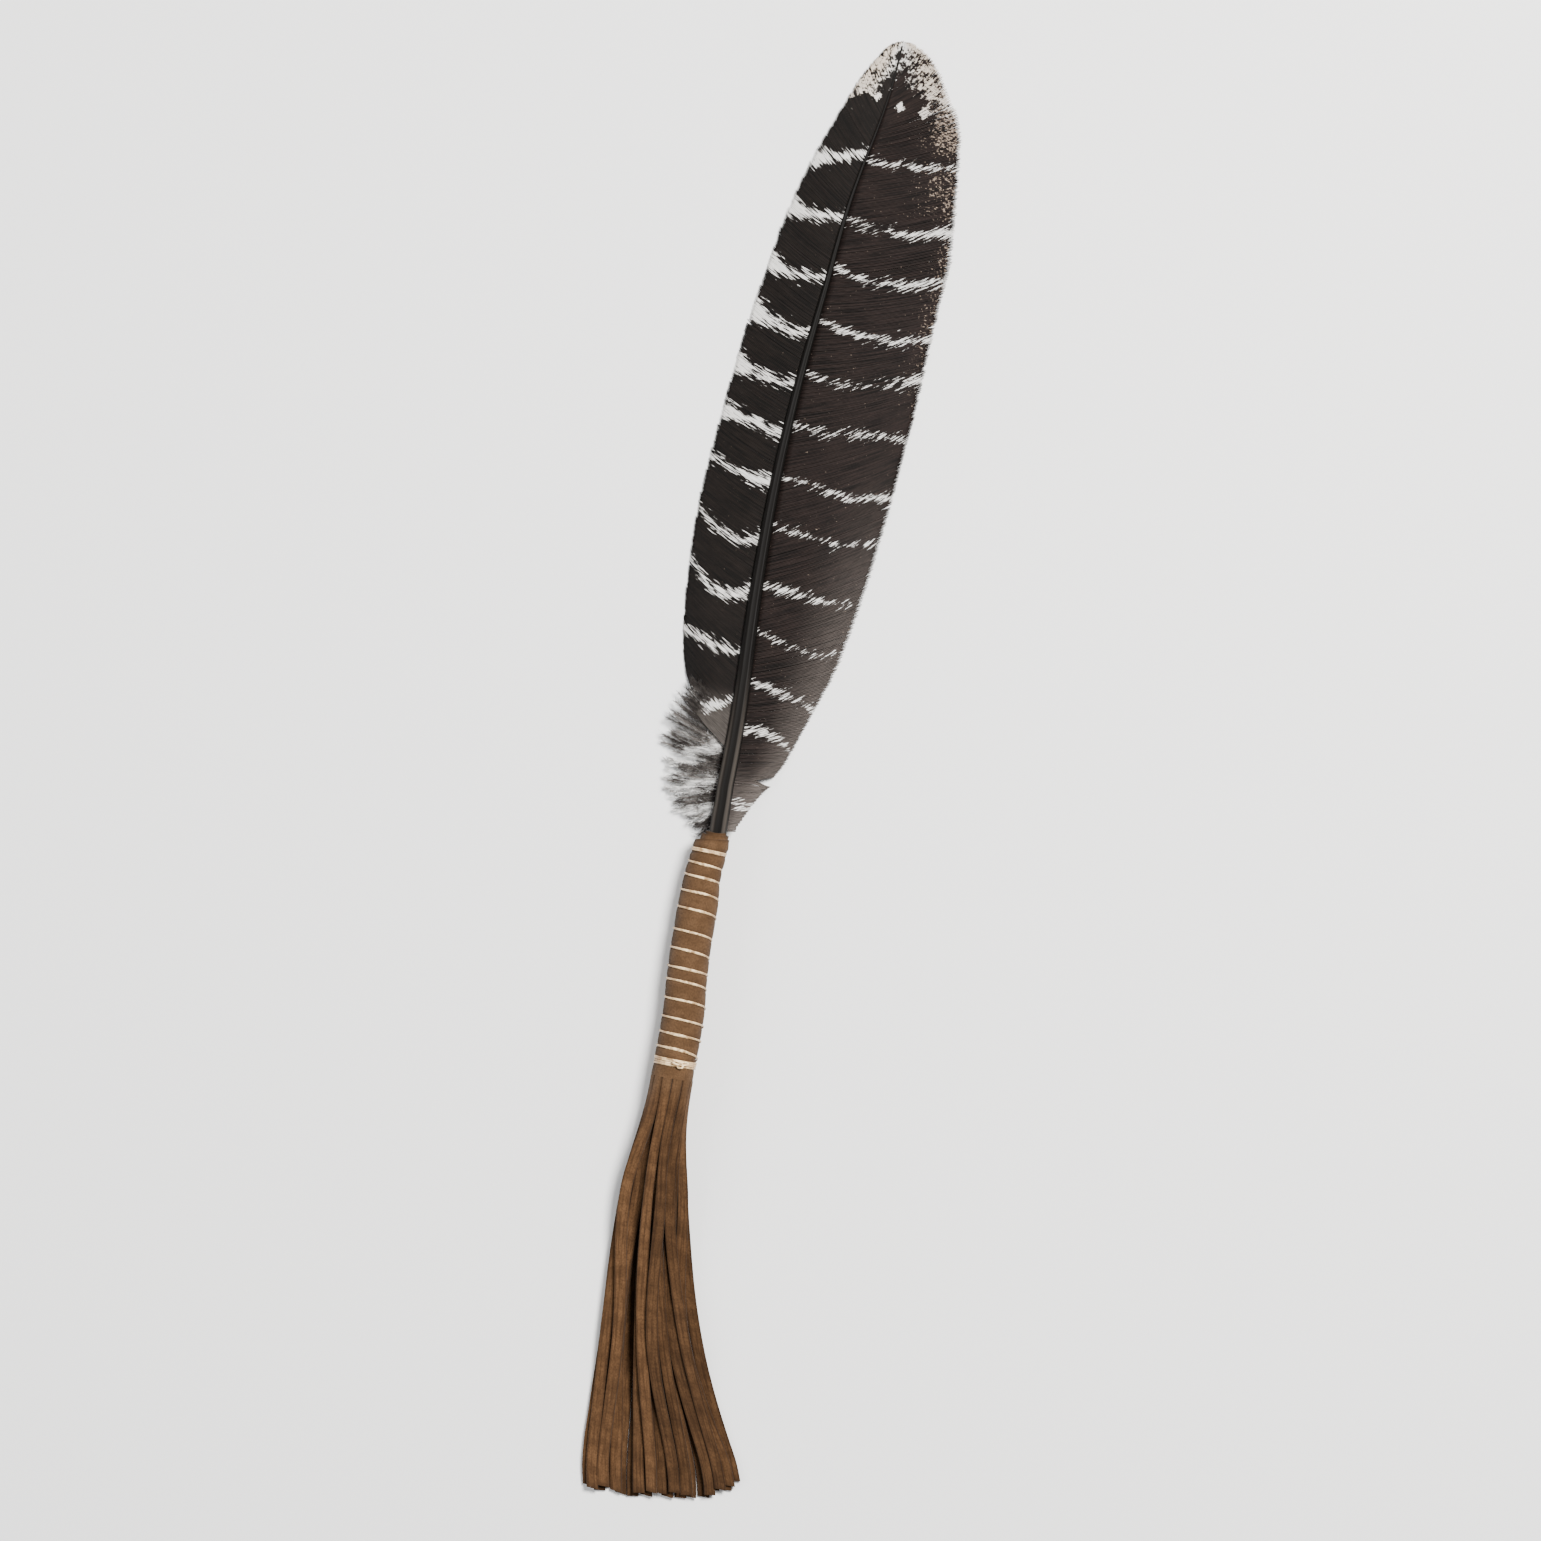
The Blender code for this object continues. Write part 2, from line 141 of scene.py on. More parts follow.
LEFT_VANE = Vane(
    name="barbs_left", node="vane_left", side=-1, bars=LEFT_BARS, thinner=0.45, first_root=106,
    angles=((105, 57), (125, 57), (150, 64), (280, 66), (305, 56), (322, 38), (330, 18), (334, -5)),
    sweep=11, splits=((150, 0.8, 0.5), (232, 0.86, 0.5)), skirt=(124, 16.6),
    spots=((319.5, 3.3, 1.5), (321.5, 6.0, 1.6)),
    colours=((0.003, 0.0026, 0.0022), (0.0105, 0.0075, 0.0062), (0.066, 0.057, 0.051)),
    fray_turn=-4, seed=11)
RIGHT_VANE = Vane(
    name="barbs_right", node="vane_right", side=1, bars=RIGHT_BARS, thinner=1.0, first_root=80,
    angles=((78, 92), (100, 86), (122, 78), (150, 70), (280, 68), (302, 60), (318, 44), (328, 28), (334, -3)),
    sweep=12, splits=((96.6, 0.62, 2.2), (171, 0.88, 0.5), (238, 0.9, 0.4)), skirt=(82, 5.6),
    spots=((317.2, 4.4, 1.8), (316.8, 12.6, 2.3)),
    colours=((0.0046, 0.0032, 0.0028), (0.0185, 0.012, 0.0104), (0.135, 0.115, 0.104)),
    fray_turn=15, seed=12)

BLACK = (0.0, 0.0, 0.0)
BAR_WHITE, BAR_GREY, BAR_TAN = (0.80, 0.785, 0.76), (0.3, 0.28, 0.26), (0.62, 0.52, 0.42)
TAN_FLECK = (0.33, 0.255, 0.20)
DOWN_DARK, DOWN_GREY, DOWN_WHITE = (0.03, 0.0245, 0.0215), (0.21, 0.19, 0.175), (0.86, 0.85, 0.83)
# The last horn colour, for the pale shoulder lines, is partly the horn's own brown and partly painted
# highlight.
HORN_DARK, HORN_STREAK, HORN_SHOULDER_TINT_AND_HIGHLIGHT = (0.002, 0.0018, 0.0016), (0.006, 0.005, 0.0045), (0.058, 0.049, 0.042)
# The thread's last colour is a painted pale highlight.
THREAD_BROWN, THREAD_WAX, THREAD_PAINTED_HIGHLIGHT = (0.17, 0.085, 0.03), (0.46, 0.27, 0.11), (1.0, 0.74, 0.42)
FLOOR = (0.94, 0.94, 0.94)
# The suede's light, middle and dark colours on the handle, and on the fringe.
HANDLE_SUEDE = ((0.101, 0.055, 0.027), (0.073, 0.039, 0.0185), (0.029, 0.015, 0.007))
FRINGE_SUEDE = ((0.095, 0.048, 0.0215), (0.062, 0.031, 0.0138), (0.020, 0.0098, 0.0045))

# The feather's rounded tip, from its left edge over the top to its right edge: across and up.
TIP_LEFT = ((3.8, 320), (4.8, 322), (5.7, 324), (6.7, 326), (8.0, 328), (9.0, 330), (10.4, 332),
            (11.6, 334), (13.2, 336), (15.2, 337.4), (17.2, 338.1))
TIP_RIGHT = ((19.9, 338.1), (22.6, 337.1), (24.7, 335.9), (27.2, 334), (29.0, 332), (30.6, 330), (32.0, 328),
             (33.1, 326), (34.3, 324), (35.5, 322), (36.5, 320))

# The down: heights and reach from the shaft, and heights and the barbs' angles in degrees.
DOWN_REACH = ((79, 6.0), (84, 13.4), (88, 16.8), (92, 19.2), (100, 20.4), (106, 22.4), (112, 21.8),
              (117, 20.8), (122, 18.0), (128, 15.2))
DOWN_ANGLES = ((81, 132), (87, 116), (95, 101), (103, 84), (110, 68), (116, 59))
DOWN_BARBS = 100
HAIR_SPACING = 0.22 * MM
HAIR_RADII = (0.062 * MM, 0.045 * MM)
HAIR_POINTS = 7  # two rings of three, and a pointed end
# Its pale bands: their heights at the shaft and at DOWN_BAR_REACH, and half their thickness.
DOWN_BARS = ((110.5, 99.0, 2.1), (97.0, 89.0, 1.8), (87.0, 80.5, 1.8))
DOWN_BAR_REACH = 17.0

# The roll of leather, as the frame has it; its angles turn from +X towards +Z.
LEATHER = 0.8 * MM
ROLL_START = 3.05 * MM
ROLL_PITCH = 0.88 * MM
ROLL_TURNS = 2.75
ROLL_TAPER = 1.08
ROLL_LENGTH = 79.0 * MM
ROLL_SLANT = 4.0 * MM
SEAM_ANGLE = math.radians(-60)
HEM = -0.7 * MM  # where the roll ends and the strips begin

# By height: how far the handle bows to the right, how much fatter the roll is all round, how much more at its
# sides, and how far the shaft leans to the right.
HANDLE_BOW = ((0, 0.45), (12, 0.7), (20, 0.7), (31, -0.25), (42, -0.75), (54, -0.7), (66, -0.8), (75, 0.2),
              (79, 0.6))
ROLL_SWELL = ((-4, 0.5), (0, 0.36), (20, 0.28), (45, 0.1), (60, 0.0), (79, 0.0))
SIDE_SWELL = ((-4, 0.2), (0, 0.2), (8, 0.4), (20, 0.45), (30, 0.35), (45, 0.35), (57, 0.45), (63, 0.0),
              (79, -0.1))
SHAFT_LEAN = ((50, 0.0), (66, 0.35), (79, 1.2), (84, 0.75), (94, 0.0))

# The wound thread: each turn's height in front, and the turn and height of its ends, inside the whippings.
THREAD_TURNS = (8.6, 13.3, 18.2, 24.3, 30.3, 34.3, 40.2, 46.1, 53.4, 59.0, 64.1, 68.2)
THREAD_ENDS = ((-0.42, 4.9), (11.45, 71.6))
THREAD_RADIUS = 0.29 * MM
THREAD_STEPS = 150  # for each turn
THREAD_PLIES = 2
THREAD_TWIST = 2.6 * MM  # along the thread for each turn of its plies
FRONT_LEVEL = 0.5  # how much more level the turns lie in front than behind
LEFT_LEVEL = 0.5  # how much more level they lie at the left than at the right
BOTTOM_BAND = 4.3 * MM
TOP_BAND = 72.4 * MM
BAND_PITCH = 0.60 * MM
PRESSED = 0.3 * MM  # how far the thread sinks into the leather

# Where each strip's root sits in the roll: its angle in degrees, and its turn, 0 outermost.
ROOT_SLOTS = {
    "left": ((225, 0), (210, 1), (195, 0), (180, 2), (165, 0), (150, 1), (135, 0)),
    "middle": ((255, 0), (250, 1), (285, 0), (250, 2), (290, 1), (290, 2), (90, 2), (110, 1), (70, 1),
               (105, 0), (75, 0)),
    "right": ((-45, 0), (-30, 1), (-15, 0), (0, 2), (15, 0), (30, 1), (45, 0)),
}
# Each strip's width near the roll, and lower down.
THONG_TOP_WIDTHS = {"left": 3.8 * MM, "middle": 3.1 * MM, "right": 3.2 * MM}
THONG_WIDTH = 3.8 * MM
THONG_STATIONS = 72
ROOT_SLOT_COUNT = 12  # outermost strips round the roll
SETTLE_LENGTH = 38.0 * MM  # along which a strip goes from its root's place to where the frame lays it
FRINGE_FLARE = 0.07 * MM  # how much further out a strip's end lies for each millimetre to the right
HIDE_TURN = 31.0 * MM  # how much of the suede's pattern goes into one turn of the roll
CRISP_ANGLE = math.radians(48)
# The upper half of a strip's outline: across and up, as shares of half its width and half its thickness.
STRIP_TOP = ((1, 0.55), (0.96, 0.95), (0.6, 1), (0, 1), (-0.6, 1), (-0.96, 0.95), (-1, 0.55))


# ---- numbers and curves

def ease(t):
    t = np.clip(t, 0.0, 1.0)
    return t * t * (3 - 2 * t)


def through(places, values):
    """A smooth function through points, level beyond both ends; it takes numbers or arrays."""
    places, values = np.asarray(places, dtype=float), np.asarray(values, dtype=float)
    slopes = np.gradient(values, places)

    def value_at(place):
        place = np.clip(place, places[0], places[-1])
        i = np.clip(np.searchsorted(places, place) - 1, 0, len(places) - 2)
        step = places[i + 1] - places[i]
        t = (place - places[i]) / step
        bend = t * (1 - t) * ((1 - t) * slopes[i] - t * slopes[i + 1]) * step
        return values[i] * (1 - ease(t)) + values[i + 1] * ease(t) + bend

    return value_at


def slow_noise(rng, length, count):
    """A smooth random function from 0 to length through count random values from -1 to 1."""
    return through(np.linspace(0, length, count), rng.uniform(-1, 1, count))


def xyz(x, y, z):
    """Points from their coordinates, each a number or an array."""
    return np.stack(np.broadcast_arrays(x, y, z), axis=-1)


def slices(node):
    """A CAD node's points grouped by their height along Y: [(y, points), ...] in order."""
    points = np.array([v.co for v in frame["nodes"][node].data.vertices], dtype=float)
    keys = np.round(points[:, 1], 5)
    return [(key, points[keys == key]) for key in np.unique(keys)]


# ---- meshes

def tube_faces(count, stations, sides):
    """Faces of count tubes, each of stations rings of sides points, closed at both ends."""
    index = np.arange(count * stations * sides).reshape(count, stations, sides)
    after = np.roll(index, -1, axis=2)
    quads = np.stack((index[:, :-1], after[:, :-1], after[:, 1:], index[:, 1:]), axis=-1).reshape(-1, 4)
    ends = np.concatenate((index[:, 0, ::-1], index[:, -1, :]))
    return quads.tolist() + ends.tolist()


def add_piece(name, points, faces, material, crisp=False):
    mesh = bpy.data.meshes.new(name)
    mesh.from_pydata(np.asarray(points).reshape(-1, 3).tolist(), [], faces)
    mesh.shade_smooth()
    if crisp:
        mesh.set_sharp_from_angle(angle=CRISP_ANGLE)
    mesh.materials.append(material)
    thing = add_object(name, mesh)
    return thing


def add_object(name, data):
    thing = bpy.data.objects.new(name, data)
    bpy.context.scene.collection.objects.link(thing)
    return thing


def store(thing, **fields):
    """Keeps numbers, or vectors, for each point of the piece, which its material reads."""
    for name, values in fields.items():
        values = np.asarray(values, dtype=np.float32)
        vectors = values.size == 3 * len(thing.data.vertices)
        attribute = thing.data.attributes.new(name, "FLOAT_VECTOR" if vectors else "FLOAT", "POINT")
        attribute.data.foreach_set("vector" if vectors else "value", values.ravel())


def unit(vectors):
    return vectors / np.maximum(np.linalg.norm(vectors, axis=-1, keepdims=True), 1e-12)


def tube_rings(path, radius, sides, facing=UP, flatten=1.0):
    """Rings of a tube along path, flattened towards facing, with a radius for each ring or for each point."""
    tangent = unit(np.gradient(path, axis=0))
    first = unit(facing - tangent * np.sum(facing * tangent, axis=1, keepdims=True))
    second = np.cross(tangent, first)
    angle = math.tau * np.arange(sides) / sides
    radius = np.reshape(radius, (len(path), -1))
    towards = (radius * np.cos(angle) * flatten)[:, :, None] * first[:, None, :]
    beside = (radius * np.sin(angle))[:, :, None] * second[:, None, :]
    return path[:, None, :] + towards + beside


# ---- materials

class Shader:
    """A Principled material whose inputs are built from maths, noise and a piece's stored numbers."""

    def __init__(self, name, roughness):
        self.material = bpy.data.materials.new(name)
        self.material.use_nodes = True
        self.tree = self.material.node_tree
        self.main = self.tree.nodes["Principled BSDF"]
        self.main.inputs["Roughness"].default_value = roughness

    def put(self, value, socket):
        if isinstance(value, bpy.types.NodeSocket):
            self.tree.links.new(value, socket)
        elif socket.type == "RGBA":
            socket.default_value = (*value, 1.0)
        else:
            socket.default_value = value

    def node(self, kind, inputs, **settings):
        """A new node with these settings, and with its inputs filled in by number or by name."""
        node = self.tree.nodes.new("ShaderNode" + kind)
        for name, setting in settings.items():
            setattr(node, name, setting)
        for key, value in inputs.items():
            self.put(value, node.inputs[key])
        return node

    def stored(self, name, vector=False):
        return self.node("Attribute", {}, attribute_name=name).outputs["Vector" if vector else "Fac"]

    def maths(self, operation, *values, clamp=False):
        return self.node("Math", dict(enumerate(values)), operation=operation, use_clamp=clamp).outputs[0]

    def plus(self, first, *others, clamp=False):
        for other in others:
            first = self.maths("ADD", first, other, clamp=clamp)
        return first

    def times(self, first, second):
        return self.maths("MULTIPLY", first, second)

    def scaled(self, value, factor, shift, clamp=False):
        return self.maths("MULTIPLY_ADD", value, factor, shift, clamp=clamp)

    def level(self, noise, size):
        """Noise with its middle brought to 0, from about -size / 2 to size / 2."""
        return self.scaled(noise, size, -size / 2)

    def point(self, x, y, z):
        return self.node("CombineXYZ", {0: x, 1: y, 2: z}).outputs[0]

    def noise(self, place, scale, detail=3.0, roughness=0.6):
        """Noise from 0 to 1 at a place; its scale is one number, or one for each axis."""
        if isinstance(scale, tuple):
            place = self.node("VectorMath", {0: place, 1: scale}, operation="MULTIPLY").outputs[0]
            scale = 1.0
        inputs = {"Vector": place, "Scale": scale, "Detail": detail, "Roughness": roughness}
        return self.node("TexNoise", inputs).outputs["Fac"]

    def rise(self, value, low, high):
        """0 below low, 1 above high, smooth between."""
        inputs = {"Value": value, "From Min": low, "From Max": high}
        return self.node("MapRange", inputs, interpolation_type="SMOOTHSTEP").outputs["Result"]

    def mix(self, factor, first, second, mode="MIX"):
        inputs = {0: factor, 6: first, 7: second}
        return self.node("Mix", inputs, data_type="RGBA", blend_type=mode).outputs[2]

    def bump(self, height, distance, strength):
        node = self.node("Bump", {"Height": height, "Distance": distance, "Strength": strength})
        self.put(node.outputs[0], self.main.inputs["Normal"])

    def finish(self, colour, sheen, specular):
        inputs = {"Base Color": colour, "Sheen Weight": sheen, "Specular IOR Level": specular}
        for name, value in inputs.items():
            self.put(value, self.main.inputs[name])
        return self.material


def barb_material(vane):
    """Dark barbs with frayed white bars, a mottled pale margin and greyer barbs lower down."""
    look = Shader(vane.name, 0.6)
    along, number, rest = look.stored("along"), look.stored("barb"), look.stored("rest", True)
    across = look.times(number, BARB_SPACING / MM)
    c, s = math.cos(math.radians(vane.fray_turn)), math.sin(math.radians(vane.fray_turn))
    length = look.plus(look.times(along, c), look.times(across, s))
    breadth = look.maths("SUBTRACT", look.times(across, c), look.times(along, s))
    coarse = look.noise(look.point(look.times(length, 0.17), look.times(breadth, 1.35), 3.0), 1.0)
    fine = look.noise(look.point(look.times(length, 0.24), look.times(breadth, 2.9), 9.0), 1.0, 1.0, 0.5)
    lines = look.noise(look.point(look.times(along, 0.06), look.times(number, 0.7), 5.0), 1.0, 1.0, 0.5)
    grain = look.noise(rest, (1300, 1900, 400), 2.0, 0.65)
    blotch = look.noise(rest, (420, 520, 300), 3.0, 0.7)
    cloud = look.noise(rest, (90, 130, 60))

    phase = look.stored("bar_phase")
    from_bar = look.maths("SUBTRACT", phase, look.maths("ROUND", phase))
    distance = look.maths("ABSOLUTE", look.times(from_bar, look.stored("bar_gap")))
    fray = look.plus(look.scaled(coarse, 12.0, -6.4), look.scaled(fine, 7.0, -3.7))
    bars = look.rise(look.maths("SUBTRACT", look.plus(look.stored("bar_half"), fray), distance), -0.3, 0.5)
    pale = look.plus(look.stored("pale"), look.level(grain, 1.8), look.level(blotch, 3.4))
    margin = look.rise(look.plus(pale, look.level(fine, 2.2)), 0.44, 0.62)

    dark, warm, greyed = vane.colours
    base = look.mix(look.rise(lines, 0.3, 0.7), dark, warm)
    base = look.mix(look.times(look.rise(cloud, 0.42, 0.7), 0.55), base, warm)
    base = look.mix(look.stored("grey"), base, greyed)
    base = look.mix(look.rise(fine, 0.3, 0.65), look.mix(0.4, base, BLACK), base)
    mottle = look.plus(look.stored("mottle"), look.level(grain, 3.4), look.level(blotch, 1.2))
    base = look.mix(look.times(look.rise(mottle, 0.35, 0.8), 0.85), base, TAN_FLECK)
    white = look.mix(look.stored("tan"), BAR_WHITE, BAR_TAN)
    white = look.mix(look.scaled(fine, 0.8, -0.2, clamp=True), look.mix(0.3, white, BAR_GREY), white)
    look.bump(grain, 0.04 * MM, 0.5)
    return look.finish(look.mix(look.maths("MAXIMUM", bars, margin), base, white), 0.0, 0.12)


def down_material():
    """Soft hairs from near-black through grey to white, by their stored tone."""
    look = Shader("down_barbs", 0.85)
    flecks = look.noise(look.stored("rest", True), (500, 500, 500), 2.0)
    tone = look.plus(look.stored("tone"), look.level(flecks, 0.7), clamp=True)
    dull = look.mix(look.rise(tone, 0.0, 0.5), DOWN_DARK, DOWN_GREY)
    return look.finish(look.mix(look.rise(tone, 0.45, 0.8), dull, DOWN_WHITE), 0.1, 0.1)


def horn_material():
    """Near-black glossy horn; pale fine lines along its two shoulders near the handle, partly own brown,
    partly painted highlight.
    """
    look = Shader("quill_horn", 0.3)
    streaks = look.noise(look.stored("rest", True), (2600, 60, 2600))
    # Shoulder lines: partly the horn's own brown, partly painted highlight.
    base = look.mix(look.stored("shoulder"), look.mix(streaks, HORN_DARK, HORN_STREAK), HORN_SHOULDER_TINT_AND_HIGHLIGHT)
    look.bump(streaks, 0.03 * MM, 0.4)
    look.put(look.scaled(streaks, 0.3, 0.3), look.main.inputs["Roughness"])
    return look.finish(base, 0.0, 0.06)


def suede_material():
    """Brown suede with a short nap and brushed patches, streaked along the fringe, darker at cut edges.

    The stored "fall" leads from the handle's colours to the fringe's. A higher stored shade is lighter: on
    the roll it is painted shade, lighter on top and darker at the sides; on the strips it is each strip's own
    tone.
    """
    look = Shader("suede", 0.92)
    hide, fall = look.stored("hide", True), look.stored("fall")
    light, middle, dark = (look.mix(fall, *colours) for colours in zip(HANDLE_SUEDE, FRINGE_SUEDE))
    patches = look.noise(hide, 190.0, 4.0, 0.55)
    nap = look.noise(hide, (2600, 1500, 2600), 3.0, 0.7)
    pores = look.noise(hide, 900.0, 2.0)
    streaks = look.noise(hide, (1700, 70, 900), 2.0)
    base = look.mix(look.rise(patches, 0.36, 0.66), middle, light)
    for share in (look.times(look.rise(nap, 0.35, 0.75), 0.55),
                  look.times(look.rise(pores, 0.52, 0.7), 0.3),
                  look.times(look.rise(streaks, 0.42, 0.68), look.times(fall, 0.6)),
                  look.times(look.stored("edge"), 0.6)):
        base = look.mix(share, base, dark)
    # Scales the colour: painted shade on the roll, each strip's own tone on the fringe.
    shade = look.scaled(look.stored("shade"), 0.6, 0.68)
    base = look.mix(1.0, base, look.point(shade, shade, shade), "MULTIPLY")
    look.bump(look.plus(nap, look.times(pores, 0.8)), 0.12 * MM, 0.8)
    return look.finish(base, 0.05, 0.08)


def thread_material():
    """Waxed thread: brown between its fibres, with a painted pale cream highlight in patches where it faces
    up.
    """
    look = Shader("waxed_thread", 0.42)
    fibres = look.noise(look.stored("strand", True), (0.5, 9.0, 1.0))
    highlight_patches = look.noise(look.stored("rest", True), 420.0)
    base = look.mix(look.rise(fibres, 0.3, 0.7), THREAD_BROWN, THREAD_WAX)
    # Painted highlight, in patches, where the thread faces up.
    base = look.mix(look.times(look.stored("worn"), look.rise(highlight_patches, 0.36, 0.6)), base, THREAD_PAINTED_HIGHLIGHT)
    look.bump(fibres, 0.08 * MM, 0.8)
    return look.finish(base, 0.1, 0.5)


# ---- the feather's lines

def shaft_curves():
    """The shaft's x, z and width by y, from the frame's quill, and the y of its tip."""
    rows = [(y, points.min(axis=0), points.max(axis=0)) for y, points in slices("quill") if y >= IN_HANDLE]
    heights, low, high = (np.array(values) for values in zip(*rows))
    middle = (low + high) / 2
    x, z, width = (through(heights, values) for values in (middle[:, 0], middle[:, 2], (high - low)[:, 0]))
    return x, z, width, heights[-1]


IN_HANDLE = FOOT_Y + WRAP_TOP - 10 * MM
cad_shaft_x, shaft_z, shaft_width, SHAFT_TIP = shaft_curves()


def line_up_handle(rows):
    """A smooth function, in metres, of the height in the row frame, from rows in millimetres."""
    heights, values = zip(*rows)
    in_mm = through(heights, values)
    return lambda y: in_mm((y - FOOT_Y) / MM) * MM


bow = line_up_handle(HANDLE_BOW)
swell = line_up_handle(ROLL_SWELL)
side_swell = line_up_handle(SIDE_SWELL)
lean = line_up_handle(SHAFT_LEAN)


def shaft_x(y):
    return cad_shaft_x(y) + lean(y)


def plate_curves(node, side):
    """A CAD vane's edge distance from the shaft's middle, and its inner and outer heights."""
    heights, edges, inner, outer = [], [], [], []
    for y, points in slices(node):
        away = side * (points[:, 0] - shaft_x(y))
        heights.append(y)
        edges.append(away.max())
        inner.append(points[np.isclose(away, away.min(), atol=1e-5), 2].mean())
        outer.append(points[np.isclose(away, away.max(), atol=1e-5), 2].mean())
    return [through(heights, values) for values in (edges, inner, outer)]


tip_top = through(*zip(*TIP_LEFT, *TIP_RIGHT))
TIP_FROM = FOOT_Y + 320 * MM


def tip_edge(side):
    """The tip's edge, as a distance from the shaft, at heights in the row frame."""
    across, heights = zip(*(TIP_LEFT if side < 0 else TIP_RIGHT[::-1]))
    edge_x = through(heights, across)
    return lambda y: side * (AXIS_X + edge_x((y - FOOT_Y) / MM) * MM - shaft_x(y))


def past_tip(x, y):
    return (y > TIP_FROM) & ((y - FOOT_Y) / MM >= tip_top((x - AXIS_X) / MM))


def march(side, roots, root_angles, sweep, edge, reach):
    """Barbs from the shaft to that share of the way to the edge: x and y at BARB_SHARES, and lengths."""
    x = shaft_x(roots) + side * shaft_width(roots) * 0.3
    y = roots
    slope = np.arctan((shaft_x(roots + MM) - shaft_x(roots - MM)) / (2 * MM))
    xs, ys = [x], [y]
    stop = np.full(len(roots), np.nan)
    for step in range(1, BARB_MOST_STEPS):
        share = np.clip(side * (x - shaft_x(y)) / np.maximum(edge(y), MM), 0, 1)
        heading = side * (root_angles - sweep * share) + slope
        x = x + np.sin(heading) * BARB_STEP
        y = y + np.cos(heading) * BARB_STEP
        xs.append(x)
        ys.append(y)
        past_edge = (side * (x - shaft_x(y)) >= edge(y)) & (y < TIP_FROM + 4 * MM)
        out = (past_edge | past_tip(x, y)) & np.isnan(stop)
        stop[out] = step
        if not np.isnan(stop).any():
            break
    stop = np.nan_to_num(stop, nan=len(xs) - 1) * reach
    steps = np.arange(len(xs))
    x, y = (np.array([np.interp(BARB_SHARES * end, steps, line) for end, line in zip(stop, lines)])
            for lines in (np.transpose(xs), np.transpose(ys)))
    return x, y, stop * BARB_STEP


def bar_fields(bars, up, out, thinner):
    """For each point, how many bars up it is, the gap between bars there, and the bar's half thickness."""
    count = len(bars)
    heights, halves = (np.array([np.interp(out.ravel(), BAR_PLACES, values) for values in table])
                       for table in zip(*bars))
    up = up.ravel()
    below = np.clip((heights <= up).sum(axis=0) - 1, 0, count - 2)
    columns = np.arange(len(up))
    low, high = heights[below, columns], heights[below + 1, columns]
    share = (up - low) / (high - low)
    phase = np.clip(below + share, -0.45, count - 0.55)
    mix = np.clip(share, 0, 1)
    half = halves[below, columns] * (1 - mix) + halves[below + 1, columns] * mix - thinner
    return phase, high - low, half


def open_splits(y, out, roots, splits):
    """Parts the barbs on the two sides of each split, more towards the edge."""
    for height, start, opening in splits:
        root = FOOT_Y + height * MM
        below = (roots < root)[:, None]
        near = np.exp(-np.abs(roots - root) / (2.4 * MM))[:, None]
        shift = opening * MM * ease((out - start) / (1 - start)) * near
        y = y + np.where(below, -shift, shift * 0.35)
    return y


